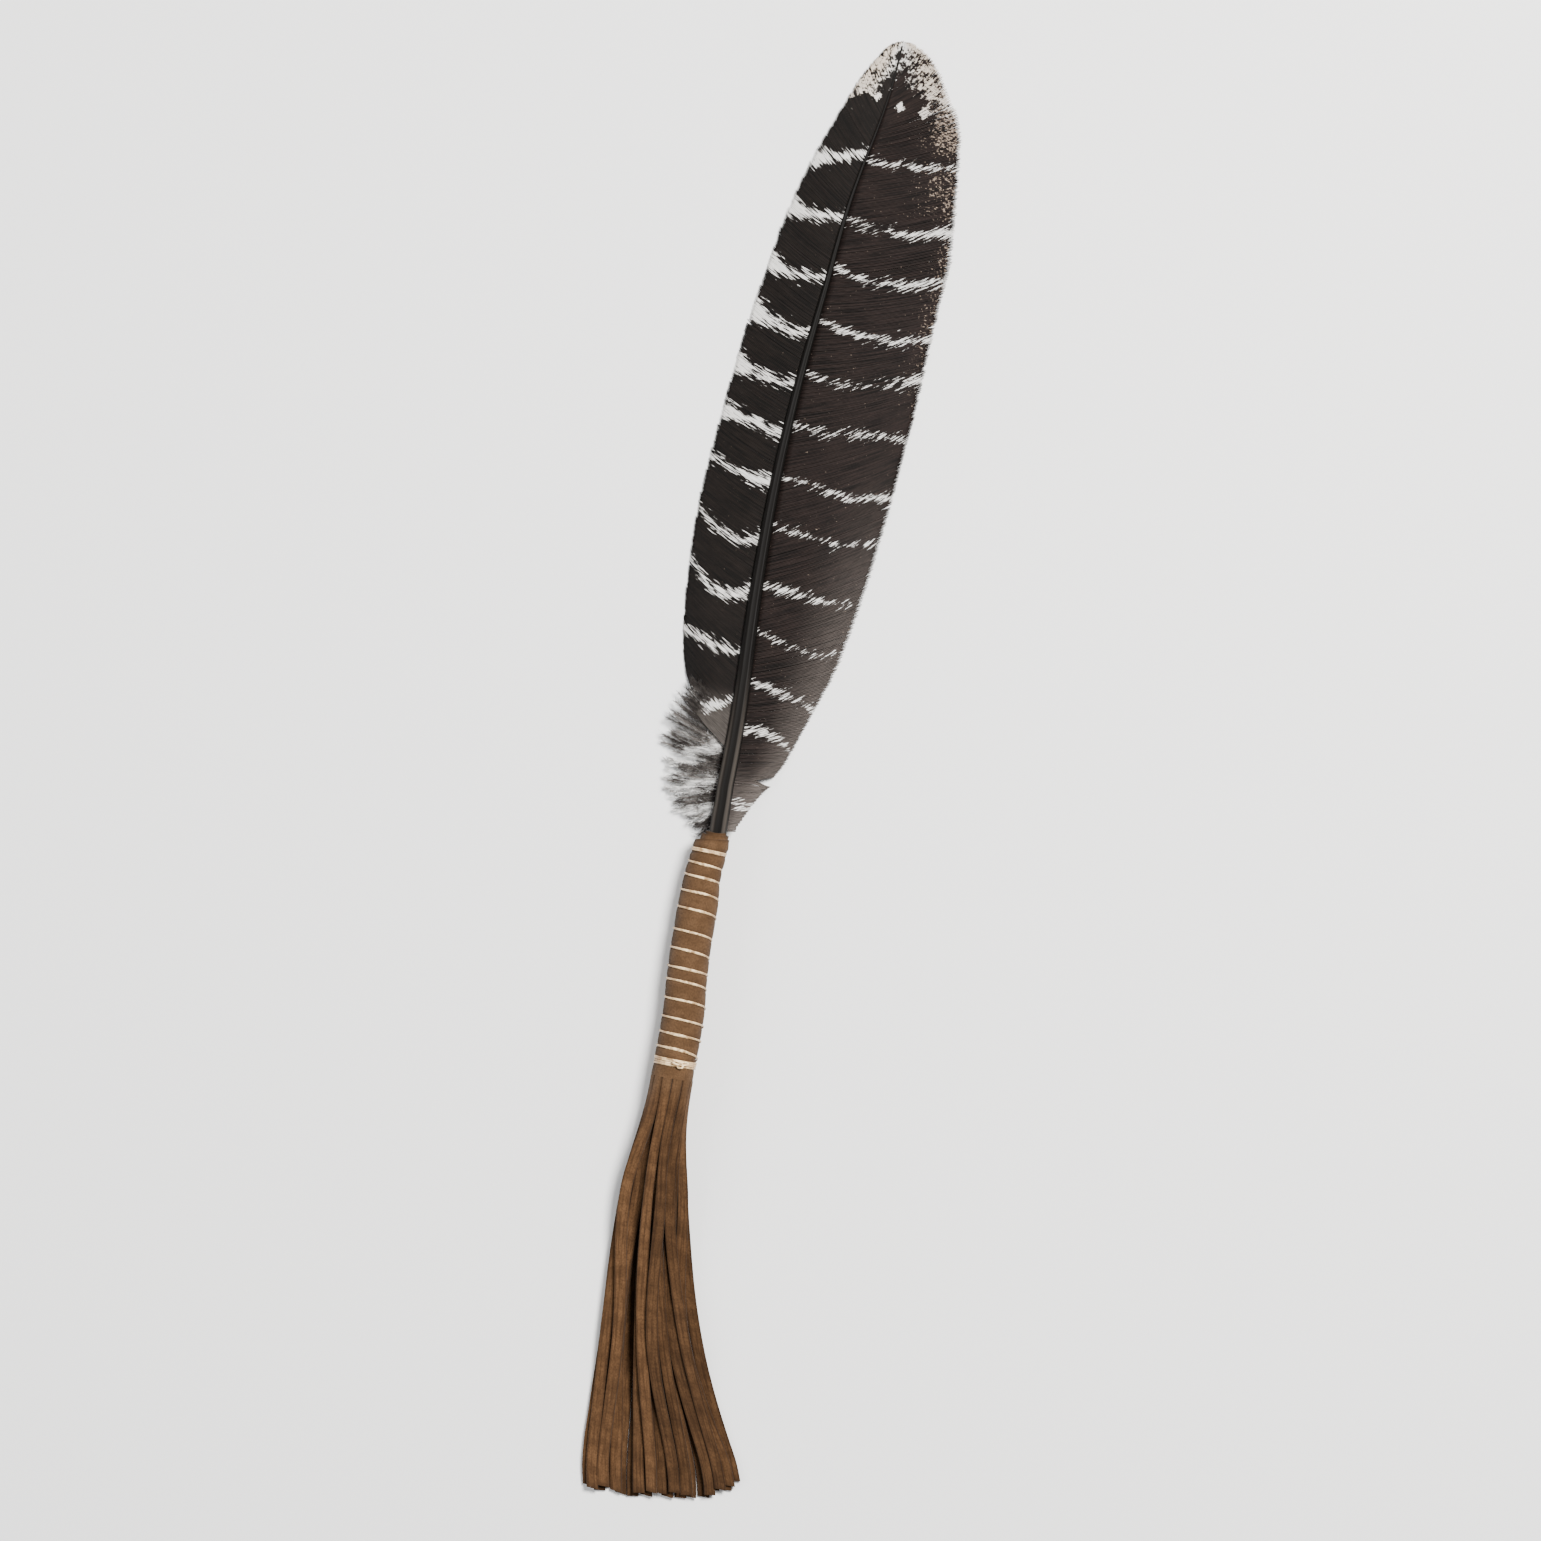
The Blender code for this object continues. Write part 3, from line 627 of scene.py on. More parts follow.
def make_vane(vane):
    """One vane of many barbs, each a thin ribbon with a ridge that laps over the next."""
    rng = np.random.default_rng(vane.seed)
    side = vane.side
    edge, inner_z, outer_z = plate_curves(vane.node, side)
    at_tip = tip_edge(side)
    skirt_top, skirt_reach = FOOT_Y + vane.skirt[0] * MM, vane.skirt[1] * MM

    def full_edge(y):
        low = np.where(y < skirt_top, np.maximum(edge(y), skirt_reach), edge(y))
        return low + (at_tip(y) - low) * ease((y - TIP_FROM) / (3 * MM))

    first, last = FOOT_Y + vane.first_root * MM, FOOT_Y + LAST_ROOT * MM
    roots = np.arange(first, last, BARB_SPACING)
    roots = roots + rng.uniform(-0.06, 0.06, len(roots)) * MM
    reach = 1.0 + rng.normal(0, 0.004, len(roots))
    angles = np.radians(through(*zip(*vane.angles))((roots - FOOT_Y) / MM))
    x, y, lengths = march(side, roots, angles, math.radians(vane.sweep), full_edge, reach)
    out = np.clip(side * (x - shaft_x(y)) / full_edge(y), 0, 1)
    y = open_splits(y, out, roots, vane.splits)
    ripple = slow_noise(rng, last - first, 30)(roots - first)[:, None]
    level = inner_z(y) + (outer_z(y) - inner_z(y)) * out ** 2 + 0.25 * MM * ripple * out ** 2
    path = xyz(x, y, np.maximum(level, 0.35 * MM))

    tangent = unit(np.gradient(path, axis=1))
    ahead = unit(np.cross(np.tile(UP, tangent.shape[:2] + (1,)), tangent)) * side  # towards the tip
    width = BARB_HALF_WIDTH * (1 - 0.75 * ease((BARB_SHARES - 0.93) / 0.07))[:, None]
    ridge = (0.10 - 0.06 * BARB_SHARES)[:, None] * MM
    ring = np.stack((path - ahead * width - UP * 0.05 * MM, path - UP * ridge,
                     path + ahead * width + UP * 0.05 * MM, path + UP * ridge), axis=2)
    across = np.array((-1.0, 0.0, 1.0, 0.0))
    if side > 0:
        ring, across = ring[:, :, ::-1], across[::-1]
    thing = add_piece(vane.name, ring, tube_faces(len(roots), BARB_STATIONS, 4), barb_material(vane))

    x, y = ring[:, :, :, 0], ring[:, :, :, 1]
    up = (y - FOOT_Y) / MM
    away = side * (x - shaft_x(y))
    out = np.clip(away / full_edge(y), 0, 1)
    number = np.arange(len(roots))[:, None, None] + across * BARB_HALF_WIDTH / BARB_SPACING
    phase, gap, half = bar_fields(vane.bars, up, out, vane.thinner)
    from_edge = tip_distance(x, y, (full_edge(y) - away) / MM)
    along = BARB_SHARES[:, None] * lengths[:, None, None] / MM
    store(thing, along=np.broadcast_to(along, up.shape), barb=np.broadcast_to(number, up.shape),
          bar_phase=phase, bar_gap=gap, bar_half=half,
          pale=pale_field(vane, up, away / MM, from_edge), grey=grey_field(side, up, out),
          tan=ease((up - 300) / 30) * ease(out * 1.5), mottle=mottle_field(side, up, out), rest=ring)
    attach(thing, "handle")
    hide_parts(vane.node)


def tip_distance(x, y, from_edge):
    """Millimetres in from the feather's edge: from the tip's outline near it, and elsewhere as given."""
    share, places = np.linspace(0, 1, 160), np.linspace(0, 1, len(TIP_LEFT + TIP_RIGHT))
    outline = [np.interp(share, places, values) for values in zip(*TIP_LEFT, *TIP_RIGHT)]
    across, up = (x - AXIS_X) / MM, (y - FOOT_Y) / MM
    distances = [np.hypot(across - tip_x, up - tip_y) for tip_x, tip_y in zip(*outline)]
    return np.where(up > 322, np.minimum.reduce(distances), from_edge)


def pale_field(vane, up, away, from_edge):
    """How likely a point is to be pale outside the bars: at the tip, its margins, and spots below it."""
    tip = 0.8 * ease(1.5 - from_edge / 3.6) * ease((up - 328) / 6.0)
    margin_width = 4.2 if vane.side > 0 else 3.2
    margin = 0.74 * ease((up - 313) / 8.0) * ease(1.7 - from_edge / margin_width)
    flecks = 0.6 * ease((up - 314) / 8.0) * ease(1.6 - from_edge / (2.2 * margin_width))
    fields = [tip, margin, flecks]
    for height, distance, size in vane.spots:
        fields.append(0.9 * ease(1.7 - 0.95 * (np.abs(up - height) + np.abs(away - distance) * 1.3) / size))
    likely = np.maximum.reduce(fields)
    return np.where(likely > 0.02, 1.5 * likely - 0.5, NEVER_PALE)


def mottle_field(side, up, out):
    """How thick the fine tan flecks lie between the bars: most at the wide vane's upper edge."""
    if side < 0:
        return 0.65 * ease((up - 318) / 8) * ease((out - 0.3) / 0.5) - 0.45
    top = 0.85 * ease((out - 0.42) / 0.45) * ease((up - 301) / 7) * ease((334 - up) / 10)
    middle = 0.62 * ease((out - 0.4) / 0.55) * ease((up - 279) / 8) * ease((304 - up) / 5)
    low = 0.55 * ease((out - 0.72) / 0.28) * ease((up - 205) / 50) * ease((284 - up) / 6)
    return np.maximum.reduce((top, middle, low)) - 0.36


def grey_field(side, up, out):
    """The lower, outer barbs are greyer."""
    if side < 0:
        return 0.9 * ease((126 - up) / 10)
    return ease((out - 0.35) / 0.8) * ease((215 - up) / 110) * 0.75 + 0.45 * ease((104 - up) / 14)


# ---- quill

def make_quill():
    """The shaft: rounded above with two shoulders, thinning to the tip, and its barrel in the handle."""
    sides, stations = 28, 260
    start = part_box("quill")[0].y
    y = np.linspace(start, SHAFT_TIP + 0.3 * MM, stations)
    barrel = through((start, start + 12 * MM, IN_HANDLE), (2.2 * MM, 4.6 * MM, shaft_width(IN_HANDLE)))
    half = np.where(y < IN_HANDLE, barrel(y), shaft_width(y))[:, None] / 2
    angle = math.tau * np.arange(sides) / sides
    on_top = np.sin(angle) > 0
    across = np.sign(np.cos(angle)) * np.abs(np.cos(angle)) ** 0.8
    hollow = 0.16 * np.exp(-(np.cos(angle) / 0.22) ** 2) * on_top
    x = shaft_x(y)[:, None] + half * across
    rings = xyz(x, y[:, None], shaft_z(y)[:, None] + half * (np.sin(angle) * (1 - hollow)) * 1.02)[:, ::-1]
    thing = add_piece("quill_shaft", rings, tube_faces(1, stations, sides), horn_material())
    # Pale lines along both shoulders, fading out above the handle: partly the horn's own brown, partly
    # painted highlights.
    shoulder = 0.75 * np.exp(-((across + 0.72) / 0.17) ** 2) + np.exp(-((across - 0.62) / 0.16) ** 2)
    fade = ease((FOOT_Y + 138 * MM - y) / (40 * MM))
    store(thing, shoulder=((shoulder * on_top)[None, :] * fade[:, None])[:, ::-1], rest=rings)
    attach(thing, "handle")
    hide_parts("quill")


# ---- down

def down_paths(rng):
    """The middle lines of the down's barbs, and their lengths."""
    roots = FOOT_Y + np.linspace(DOWN_ANGLES[0][0], DOWN_ANGLES[-1][0], DOWN_BARBS) * MM
    angles = np.radians(through(*zip(*DOWN_ANGLES))((roots - FOOT_Y) / MM) + rng.normal(0, 5, len(roots)))
    outline = line_up_handle(DOWN_REACH)
    reach = rng.uniform(0.8, 1.02, len(roots))
    x, y, lengths = march(-1, roots, angles, math.radians(10), outline, reach)
    bend = np.array([slow_noise(rng, 1.0, 4)(BARB_SHARES) for _ in roots])
    y = y + 0.9 * MM * bend * BARB_SHARES
    out = np.clip((shaft_x(y) - x) / outline(y), 0, 1)
    lift = rng.normal(0, 0.5, len(roots))[:, None] * MM * out
    z = np.maximum(4.2 * MM - 2.2 * MM * out ** 1.5 + lift, 0.6 * MM) + (shaft_z(y) - 6.6 * MM) * (1 - out)
    over_vane = 1.6 * MM * ease((roots - FOOT_Y - 100 * MM) / (6 * MM))[:, None]
    return xyz(x, y, z + over_vane * np.minimum(1.0, 4 * out)), lengths


def side_hairs(rng, path, length):
    """Curling hairs on both sides of one barb, as three points each, and how far each strays in tone."""
    count = int(length / HAIR_SPACING)
    share = np.repeat(np.linspace(0.04, 1.0, count), 2)

    def along(values):
        return np.stack([np.interp(share, BARB_SHARES, column) for column in values.T], axis=1)

    base, tangent = along(path), unit(along(np.gradient(path, axis=0)))
    sign = np.tile((1.0, -1.0), count)
    spread = np.radians(rng.uniform(14, 50, 2 * count)) * (1 - 0.35 * share)
    heading = np.cos(spread)[:, None] * tangent + (sign * np.sin(spread))[:, None] * np.cross(UP, tangent)
    heading[:, 2] += rng.normal(0, 0.2, 2 * count)
    hair = rng.uniform(1.3, 3.0, 2 * count) * MM * (1 - 0.25 * share)
    curl = unit(rng.normal(0, 1, (2 * count, 3)) * (1.0, 1.0, 0.5))
    strand = np.stack([base + unit(heading) * (hair * t)[:, None] + curl * (hair * 0.4 * t * t)[:, None]
                       for t in (0.0, 0.5, 1.0)], axis=1)
    return strand, slow_noise(rng, 1.0, 6)(share) + rng.normal(0, 0.8) + rng.normal(0, 0.35, len(share))


def hair_solids(strands):
    """A pointed, three-sided solid round each strand: its points, and all their faces."""
    heading = unit(strands[:, 2] - strands[:, 0])
    first = unit(np.cross(UP, heading))
    second = np.cross(heading, first)
    turn = math.tau * np.arange(3) / 3
    spokes = np.cos(turn)[:, None] * first[:, None] + np.sin(turn)[:, None] * second[:, None]
    rings = strands[:, :2, None] + spokes[:, None] * np.array(HAIR_RADII)[:, None, None]
    hairs = np.concatenate((rings.reshape(-1, 6, 3), strands[:, 2:]), axis=1)
    start = HAIR_POINTS * np.arange(len(hairs))[:, None, None]
    sides = start + np.array(((0, 1, 4, 3), (1, 2, 5, 4), (2, 0, 3, 5)))
    ends = start + np.array(((3, 4, 6), (4, 5, 6), (5, 3, 6), (2, 1, 0)))
    return hairs.reshape(-1, 3), sides.reshape(-1, 4).tolist() + ends.reshape(-1, 3).tolist()


def make_down():
    """Soft barbs beside the shaft's foot, each with many fine curling side hairs."""
    rng = np.random.default_rng(21)
    paths, lengths = down_paths(rng)
    strands, tones = zip(*[side_hairs(rng, path, length) for path, length in zip(paths, lengths)])
    strands = np.concatenate(strands)
    strands[:, :, 2] = np.maximum(strands[:, :, 2], 0.15 * MM)
    hairs, faces = hair_solids(strands)
    stem_radii = np.linspace(0.14, 0.05, BARB_STATIONS) * MM
    stems = np.stack([tube_rings(path, stem_radii, 3) for path in paths]).reshape(-1, 3)
    for face in tube_faces(len(paths), BARB_STATIONS, 3):
        faces.append([corner + len(hairs) for corner in face])
    points = np.concatenate((hairs, stems))
    thing = add_piece("down_barbs", points, faces, down_material())
    wobble = np.concatenate((np.repeat(np.concatenate(tones), HAIR_POINTS), np.zeros(len(stems))))
    store(thing, tone=down_tone(points, wobble), rest=points)
    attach(thing, "handle")
    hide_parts("down_tuft")


def down_tone(points, wobble):
    """Pale, ragged bands across the grey down, and a dark root beside the shaft."""
    up = (points[:, 1] - FOOT_Y) / MM + 1.7 * wobble
    away = (shaft_x(points[:, 1]) - points[:, 0]) / MM
    tone = 0.11 + 0.17 * wobble + 0.14 * ease((away - 14) / 7) - 0.12 * ease((up - 116) / 8)
    for inner, outer, size in DOWN_BARS:
        height = inner + (outer - inner) * away / DOWN_BAR_REACH
        tone = np.maximum(tone, ease(1.4 - np.abs(up - height) / size) * 0.95)
    return tone - 0.3 * ease((6 - away) / 5) * (tone < 0.6)


# ---- leather

def thread_height(turn):
    """How far up the handle the wound thread is, that many turns on from the front of its first turn."""
    angle = math.tau * turn
    level = turn - (FRONT_LEVEL * np.sin(angle) + LEFT_LEVEL * (1 - np.cos(angle))) / math.tau
    (first, foot), (last, head) = THREAD_ENDS
    return np.interp(level, (first, *range(len(THREAD_TURNS)), last), (foot, *THREAD_TURNS, head)) * MM


def turn_heights(angle):
    """Where the wound thread passes, up the handle, at that angle round it; one row for each turn."""
    turn = (angle - math.pi / 2) / math.tau
    turn = turn - np.floor(turn)
    return np.array([thread_height(turn + k) for k in range(-1, len(THREAD_TURNS))])


def roll_taper(y):
    """The roll is tighter at its upper end."""
    return ROLL_TAPER + (1 - ROLL_TAPER) * y / ROLL_LENGTH


def since_seam(angle):
    """Turns back from the sheet's last edge: 0 on it, nearly 1 on the turn below, just past it."""
    return ((SEAM_ANGLE - angle) / math.tau) % 1.0


def roll_outer(angle, y):
    """The rolled leather's outer radius."""
    radius = ROLL_START + ROLL_PITCH * (ROLL_TURNS - since_seam(angle)) + LEATHER
    return radius * roll_taper(y) + swell(FOOT_Y + y)


def pinch(angle, y):
    """How far the thread presses the leather in."""
    depth = np.zeros(np.broadcast(angle, y).shape)
    for row in turn_heights(angle):
        depth = np.maximum(depth, np.exp(-((y - row) / (0.75 * MM)) ** 2))
    for height, width in ((BOTTOM_BAND, 1.5 * MM), (TOP_BAND, 1.2 * MM)):
        depth = np.maximum(depth, 1.3 * np.exp(-((y - height) / width) ** 4))
    return depth * PRESSED


def on_handle(y, radius, angle, follow=1.0):
    """Points at a radius from the handle's axis, which bows; with follow 0 they keep to the shaft instead."""
    middle = AXIS_X + bow(FOOT_Y + y) * follow + lean(FOOT_Y + y) * (1 - follow)
    out = radius + side_swell(FOOT_Y + y) * follow
    return xyz(middle + out * np.cos(angle), FOOT_Y + y, AXIS_Z + radius * np.sin(angle))


def sheet_faces(rows, columns):
    """Faces of a closed sheet between an outer grid and an inner grid of rows by columns points."""
    o, i = np.arange(2 * rows * columns).reshape(2, rows, columns)
    sides = (
        (o[1:, :-1], o[1:, 1:], o[:-1, 1:], o[:-1, :-1]),
        (i[:-1, 1:], i[1:, 1:], i[1:, :-1], i[:-1, :-1]),
        (i[:-1, 0], i[1:, 0], o[1:, 0], o[:-1, 0]),
        (o[1:, -1], i[1:, -1], i[:-1, -1], o[:-1, -1]),
        (o[0, 1:], i[0, 1:], i[0, :-1], o[0, :-1]),
        (i[-1, :-1], i[-1, 1:], o[-1, 1:], o[-1, :-1]),
    )
    return [face for side in sides for face in np.stack(side, axis=-1).reshape(-1, 4).tolist()]


def make_wrap(material):
    """The sheet's rolled part, as one spiral sheet; only its last turn is finely divided."""
    rng = np.random.default_rng(31)
    stations, last_turn = 190, ROLL_TURNS - 1.05
    turns = np.concatenate((np.linspace(0, last_turn, 34)[:-1], np.linspace(last_turn, ROLL_TURNS, 130)))
    upper = ROLL_LENGTH - ROLL_SLANT * (turns / ROLL_TURNS) ** 2
    upper = upper + 0.25 * MM * slow_noise(rng, ROLL_TURNS, 16)(turns)
    share = np.linspace(0, 1, stations)
    y = HEM + (upper - HEM)[:, None] * share[None, :]
    angle = (SEAM_ANGLE + math.tau * (turns - ROLL_TURNS))[:, None]
    taper = roll_taper(y)
    inner = (ROLL_START + ROLL_PITCH * turns)[:, None] * taper
    last = ease((turns - (ROLL_TURNS - 1.0)) / 0.08)[:, None]
    pressed = pinch(angle, y)
    waves = 0.07 * MM * np.sin(angle * 5 + y / (3.1 * MM)) * np.cos(y / (4.3 * MM) + 1.0)
    collar = 0.55 * MM * ease((y - 73.5 * MM) / (4 * MM))
    outer = inner + LEATHER * taper
    outer = outer + last * (waves - pressed + swell(FOOT_Y + y)) - collar
    inner = inner - last * pressed * 0.4 - collar
    outer = np.maximum(outer, inner + 0.45 * MM)
    follow = ease(turns / ROLL_TURNS)[:, None]
    grids = np.stack((on_handle(y, outer, angle, follow), on_handle(y, inner, angle, follow)))
    faces = sheet_faces(len(turns), stations)
    thing = add_piece("rolled_leather", grids, faces, material, crisp=True)
    hide = xyz(turns[:, None] * HIDE_TURN, y, 0.0)
    upper_rim = ease((share[None, :] - 0.985) / 0.015)
    last_rim = ease((turns[:, None] - ROLL_TURNS + 0.015) / 0.015)
    # Darker at the sheet's cut edges, and where the thread presses the leather in.
    rim = np.maximum(np.maximum(upper_rim, last_rim), pressed / PRESSED * 0.35)
    # Painted shade on the roll: lighter on top, darker at its sides, darkest along its far left edge.
    from_above, far_left = np.maximum(np.sin(angle), 0.0), ease((-np.cos(angle) - 0.86) / 0.12)
    shade = np.broadcast_to(0.6 - 0.3 * (1 - from_above) - 0.5 * far_left, y.shape)
    store(thing, hide=np.stack((hide, hide + (0, 0, 2 * MM))), edge=np.stack((rim, rim)),
          shade=np.stack((shade, shade)), fall=np.zeros(len(thing.data.vertices)))
    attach(thing, "handle")
    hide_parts("leather_wrap")
    return thing


# ---- thread

def make_thread(name, path, radius, outward, material, node, flatten=0.8):
    """A twisted waxed thread along path: its outline is lobed, and the lobes turn along it."""
    sides = 14
    steps = np.linalg.norm(np.diff(path, axis=0), axis=1)
    along = np.concatenate(((0.0,), np.cumsum(steps)))[:, None]
    turned = math.tau * np.arange(sides) / sides - along / THREAD_TWIST * math.tau
    lobes = 1 + 0.16 * np.abs(np.cos(turned * THREAD_PLIES / 2)) - 0.08
    rings = tube_rings(path, radius[:, None] * lobes, sides, outward, flatten)
    thing = add_piece(name, rings, tube_faces(1, len(path), sides), material)
    # Painted highlight: strongest where the thread faces straight up.
    worn = np.clip(0.25 + 0.75 * outward[:, 2] ** 5, 0, 1)
    store(thing, strand=xyz(along / MM, turned / math.tau * 3, 0.0), rest=rings, worn=np.repeat(worn, sides))
    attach(thing, "handle")
    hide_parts(node)


def wound_path(heights, angles, lift):
    """A path round the handle on the leather, eased over the seam's step, and its outward directions."""
    seam = ease(((angles - SEAM_ANGLE) / math.tau % 1.0) / 0.12)
    radius = roll_outer(angles, heights) - pinch(angles, heights)
    radius = radius + (1 - seam) * ROLL_PITCH * 0.6
    path = on_handle(heights, radius + lift, angles)
    return path, unit(path - on_handle(heights, 0.0, angles))


def make_binding(material):
    """The thread wound up the handle, the two whippings that hold its ends, and the knot."""
    rng = np.random.default_rng(41)
    last = len(THREAD_TURNS) - 1
    turn = np.linspace(THREAD_ENDS[0][0], THREAD_ENDS[1][0], last * THREAD_STEPS)
    angles = math.pi / 2 + math.tau * turn
    heights = thread_height(turn) + 0.12 * MM * slow_noise(rng, last, 60)(turn)
    on_top = np.maximum(0.0, np.sin(angles)) ** 3
    fat = 1 + 0.42 * on_top * (1 + 0.6 * slow_noise(rng, last, 90)(turn))
    fat = fat + 0.12 * slow_noise(rng, last, 200)(turn)
    path, outward = wound_path(heights, angles, THREAD_RADIUS * 0.7)
    make_thread("wound_thread", path, THREAD_RADIUS * fat, outward, material, "binding_thread")

    for name, node, middle, turns in (("whipping_low", "bottom_whipping", BOTTOM_BAND, 4),
                                      ("whipping_high", "top_whipping", TOP_BAND, 2)):
        turn = np.linspace(0, turns, turns * THREAD_STEPS)
        angles = math.radians(200) + math.tau * turn
        heights = middle + (turn - turns / 2) * BAND_PITCH + 0.14 * MM * slow_noise(rng, turns, 12)(turn)
        path, outward = wound_path(heights, angles, THREAD_RADIUS * 0.8)
        fat = 1 + 0.12 * slow_noise(rng, turns, 30)(turn)
        make_thread(name, path, THREAD_RADIUS * 0.98 * fat, outward, material, node)
    make_knot(material)


def make_knot(material):
    """A knot on the lower whipping: three crossing loops, pressed flat."""
    t = np.linspace(0, math.tau, 260)
    base = roll_outer(math.pi / 2, BOTTOM_BAND) + 0.75 * MM
    x = AXIS_X + 2.1 * MM + 2.5 * MM * (np.sin(t) + 1.5 * np.sin(2 * t)) / 2.3
    y = BOTTOM_BAND + 1.15 * MM * (np.cos(t) - 1.5 * np.cos(2 * t)) / 2.3
    sag = (x - AXIS_X) ** 2 / (2 * base)
    z = AXIS_Z + base - sag + 0.35 * MM * (1 - np.sin(3 * t))
    path, outward = xyz(x, FOOT_Y + y, z), np.tile(UP, (len(t), 1))
    radius = np.full(len(t), THREAD_RADIUS * 0.95)
    make_thread("knot_thread", path, radius, outward, material, "binding_knot", 0.85)


# ---- fringe

def thong_line(node):
    """A CAD thong's middle line: x and z as functions of the distance down, its root's y, and its length."""
    rows = [(y, (points.min(axis=0) + points.max(axis=0)) / 2) for y, points in slices(node)][::-1]
    root_y = rows[0][0]
    down = [root_y - y for y, _ in rows]
    line_x, line_z = (through(down, [middle[axis] for _, middle in rows]) for axis in (0, 2))
    return line_x, line_z, root_y, down[-1]


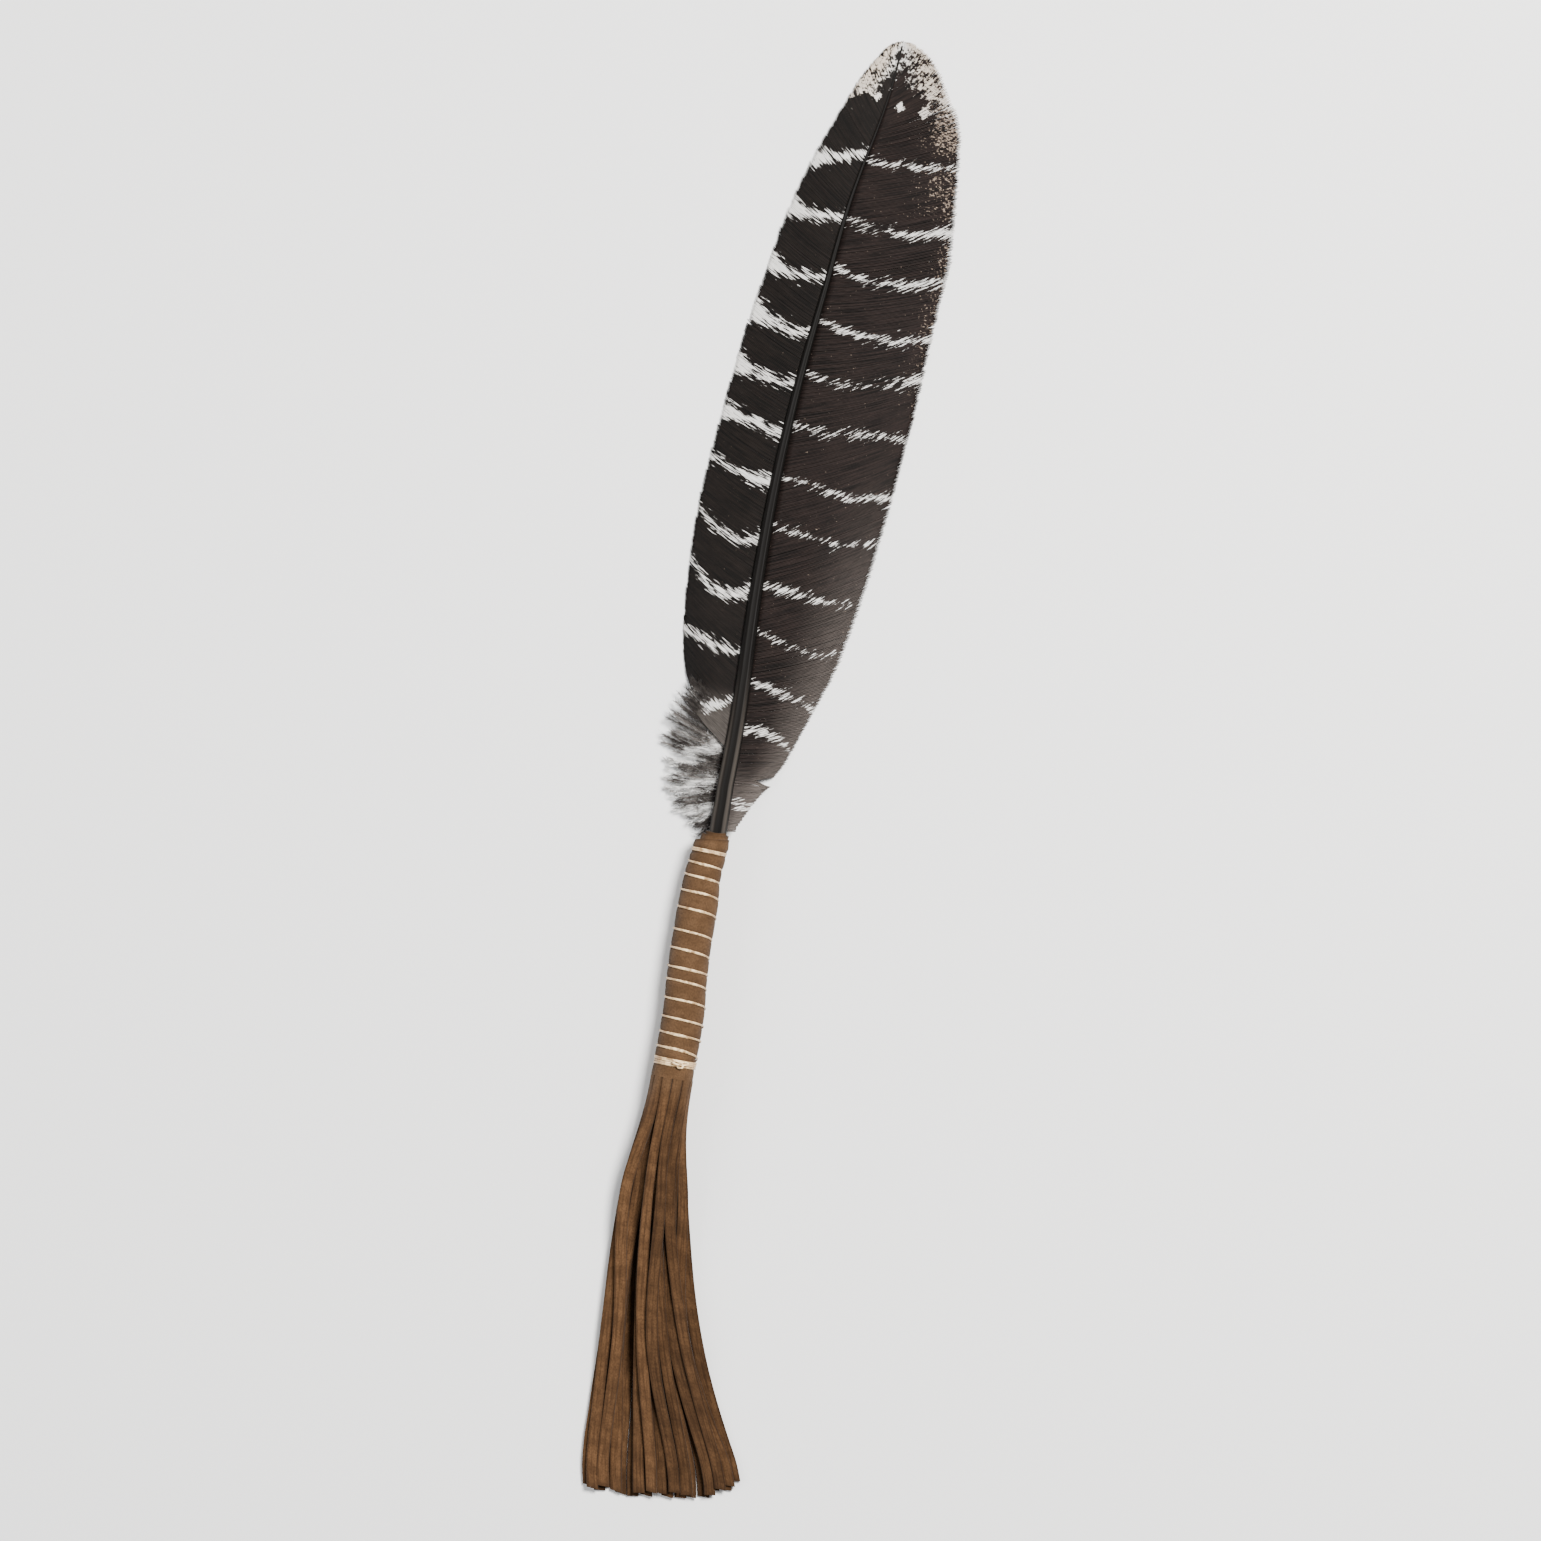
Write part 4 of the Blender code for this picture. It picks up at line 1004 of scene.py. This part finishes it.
def make_thong(bundle, number, degrees, turn_in, material):
    """A strip, curved like the roll at its root, that flattens on its way to where the frame lays it."""
    rng = np.random.default_rng(100 + 20 * number + len(bundle))
    node, body = f"thong_{bundle}_{number}", "fringe_" + bundle
    line_x, line_z, root_y, length = thong_line(node)
    length = length + rng.uniform(-1.2, 0.6) * MM
    hem = HEM - (root_y - FOOT_Y)
    share = np.linspace(0, 1, THONG_STATIONS)
    down = -hem + (length + hem) * share
    settled = ease(down / SETTLE_LENGTH)

    def wander(count):
        return slow_noise(rng, length, count)(np.maximum(down, 0))

    angle, upper = math.radians(degrees), degrees % 360 <= 180
    outward = 1 if upper else -1
    radius = roll_outer(angle, HEM) - LEATHER / 2 - turn_in * (LEATHER + 0.15 * MM)
    ring_x = AXIS_X + bow(FOOT_Y) + (radius + side_swell(FOOT_Y)) * math.cos(angle)
    ring_z = AXIS_Z + radius * math.sin(angle)
    x = ring_x * (1 - settled) + line_x(down) * settled
    z = ring_z * (1 - settled) + line_z(down) * settled
    to_right = max(0.0, float(line_x(length)) - AXIS_X) / MM
    x = x + 0.4 * MM * wander(5) * ease(down / (30 * MM))
    x = x + FRINGE_FLARE * to_right * ease((down - 88 * MM) / (45 * MM))
    roll = math.radians(degrees % 360 - (90 if upper else 270))
    limp = math.radians(9 if number < 6 else 17) * wander(6)
    roll = roll * (1 - settled) + limp * settled
    z = np.maximum(z, 0.12 * MM + LEATHER / 2 + np.abs(np.sin(roll)) * THONG_WIDTH / 2)

    root_width = math.tau * radius / ROOT_SLOT_COUNT if turn_in == 0 else THONG_WIDTH
    narrow = ease((down + hem - rng.uniform(0, 3) * MM) / (13 * MM))
    top_width = THONG_TOP_WIDTHS[bundle]
    cut_width = top_width + (THONG_WIDTH - top_width) * ease((down - 25 * MM) / (40 * MM))
    cut_width = cut_width * (1 + 0.05 * wander(9))
    width = root_width * (1 - narrow) + cut_width * narrow
    half = LEATHER / 2 * (1 + 0.08 * wander(12))
    profile = np.array([(-a, -b) for a, b in STRIP_TOP] + list(STRIP_TOP))
    across = profile[:, 0] * width[:, None] / 2
    curve = across ** 2 / (2 * radius) * (1 - settled)[:, None] * outward
    cup = 0.10 * MM * wander(5)[:, None] * (2 * across / THONG_WIDTH) ** 2
    above = profile[:, 1] * half[:, None] - curve + cup * settled[:, None]
    c, s = np.cos(roll)[:, None], np.sin(roll)[:, None]
    slant = rng.uniform(-0.14, 0.14) * ease((share - 0.9) / 0.1)[:, None]  # of its cut end
    rings = xyz(x[:, None] + across * c - above * s, root_y - down[:, None] + across * slant,
                z[:, None] + across * s + above * c)[:, ::-1]
    faces = tube_faces(1, THONG_STATIONS, len(profile))
    thing = add_piece(f"fringe_{bundle}_{number}", rings, faces, material, crisp=True)

    root_turn = ROLL_TURNS - since_seam(angle) - turn_in
    hide_x = HIDE_TURN * (root_turn - outward * across / (math.tau * radius))
    hide_z = (1 - outward * profile[:, 1]) * half[:, None]
    hide = xyz(hide_x, root_y - FOOT_Y - down[:, None], hide_z)
    fall = ease((down + hem) / (9 * MM))
    tone = 0.12 * wander(6) + 0.42 * rng.uniform(-1, 1)
    cut_sides = (np.abs(profile[:, 0]) > 0.9)[None, :]
    cut_end = ease((share - 0.985) / 0.015)[:, None]
    store(thing, hide=hide[:, ::-1], edge=np.maximum(cut_sides, cut_end)[:, ::-1],
          shade=np.repeat(0.6 + tone * fall, len(profile)), fall=np.repeat(fall, len(profile)))
    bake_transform(thing)
    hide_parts(node)
    return thing


def make_leather_parts():
    """The one sheet: its rolled part and the strips that its lower part is cut into."""
    suede = suede_material()
    wrap = make_wrap(suede)
    thongs = [make_thong(bundle, number, *slot, suede) for bundle, slots in ROOT_SLOTS.items()
              for number, slot in enumerate(slots, start=1)]


# ---- scene

def make_camera():
    data = bpy.data.cameras.new("camera")
    camera = add_object("camera", data)
    camera.location = CAMERA_AIM + Vector((0, 0, CAMERA_HEIGHT))
    camera.rotation_euler = (0.0, 0.0, CAMERA_TURN)
    data.sensor_width = 36.0
    data.lens = data.sensor_width * CAMERA_HEIGHT / FRAME_WIDTH
    data.clip_start = 0.05
    bpy.context.scene.camera = camera


def make_light(name, place, size, power, colour):
    data = bpy.data.lights.new(name, "AREA")
    data.shape = "DISK"
    data.size = size
    data.energy = power
    data.color = colour
    light = add_object(name, data)
    light.location = place
    light.rotation_euler = (-Vector(place)).to_track_quat("-Z", "Y").to_euler()


def make_stage():
    bpy.ops.mesh.primitive_plane_add(size=12.0, location=(0, 0, 0))
    floor = bpy.context.active_object
    floor.name = "floor"
    floor.data.materials.append(Shader("pale_floor", 0.9).finish(FLOOR, 0.0, 0.1))
    world = bpy.data.worlds.new("studio")
    world.use_nodes = True
    background = world.node_tree.nodes["Background"].inputs
    background["Color"].default_value = (1.0, 1.0, 1.0, 1.0)
    background["Strength"].default_value = 0.38
    bpy.context.scene.world = world
    make_light("key", (0.5, 0.6, 1.42), 0.6, 72.0, (1.0, 0.985, 0.96))
    make_light("fill", (-1.3, -0.5, 0.9), 1.0, 14.0, (0.96, 0.98, 1.0))


make_camera()
make_stage()
make_vane(LEFT_VANE)
make_vane(RIGHT_VANE)
make_quill()
make_down()
make_leather_parts()
make_binding(thread_material())
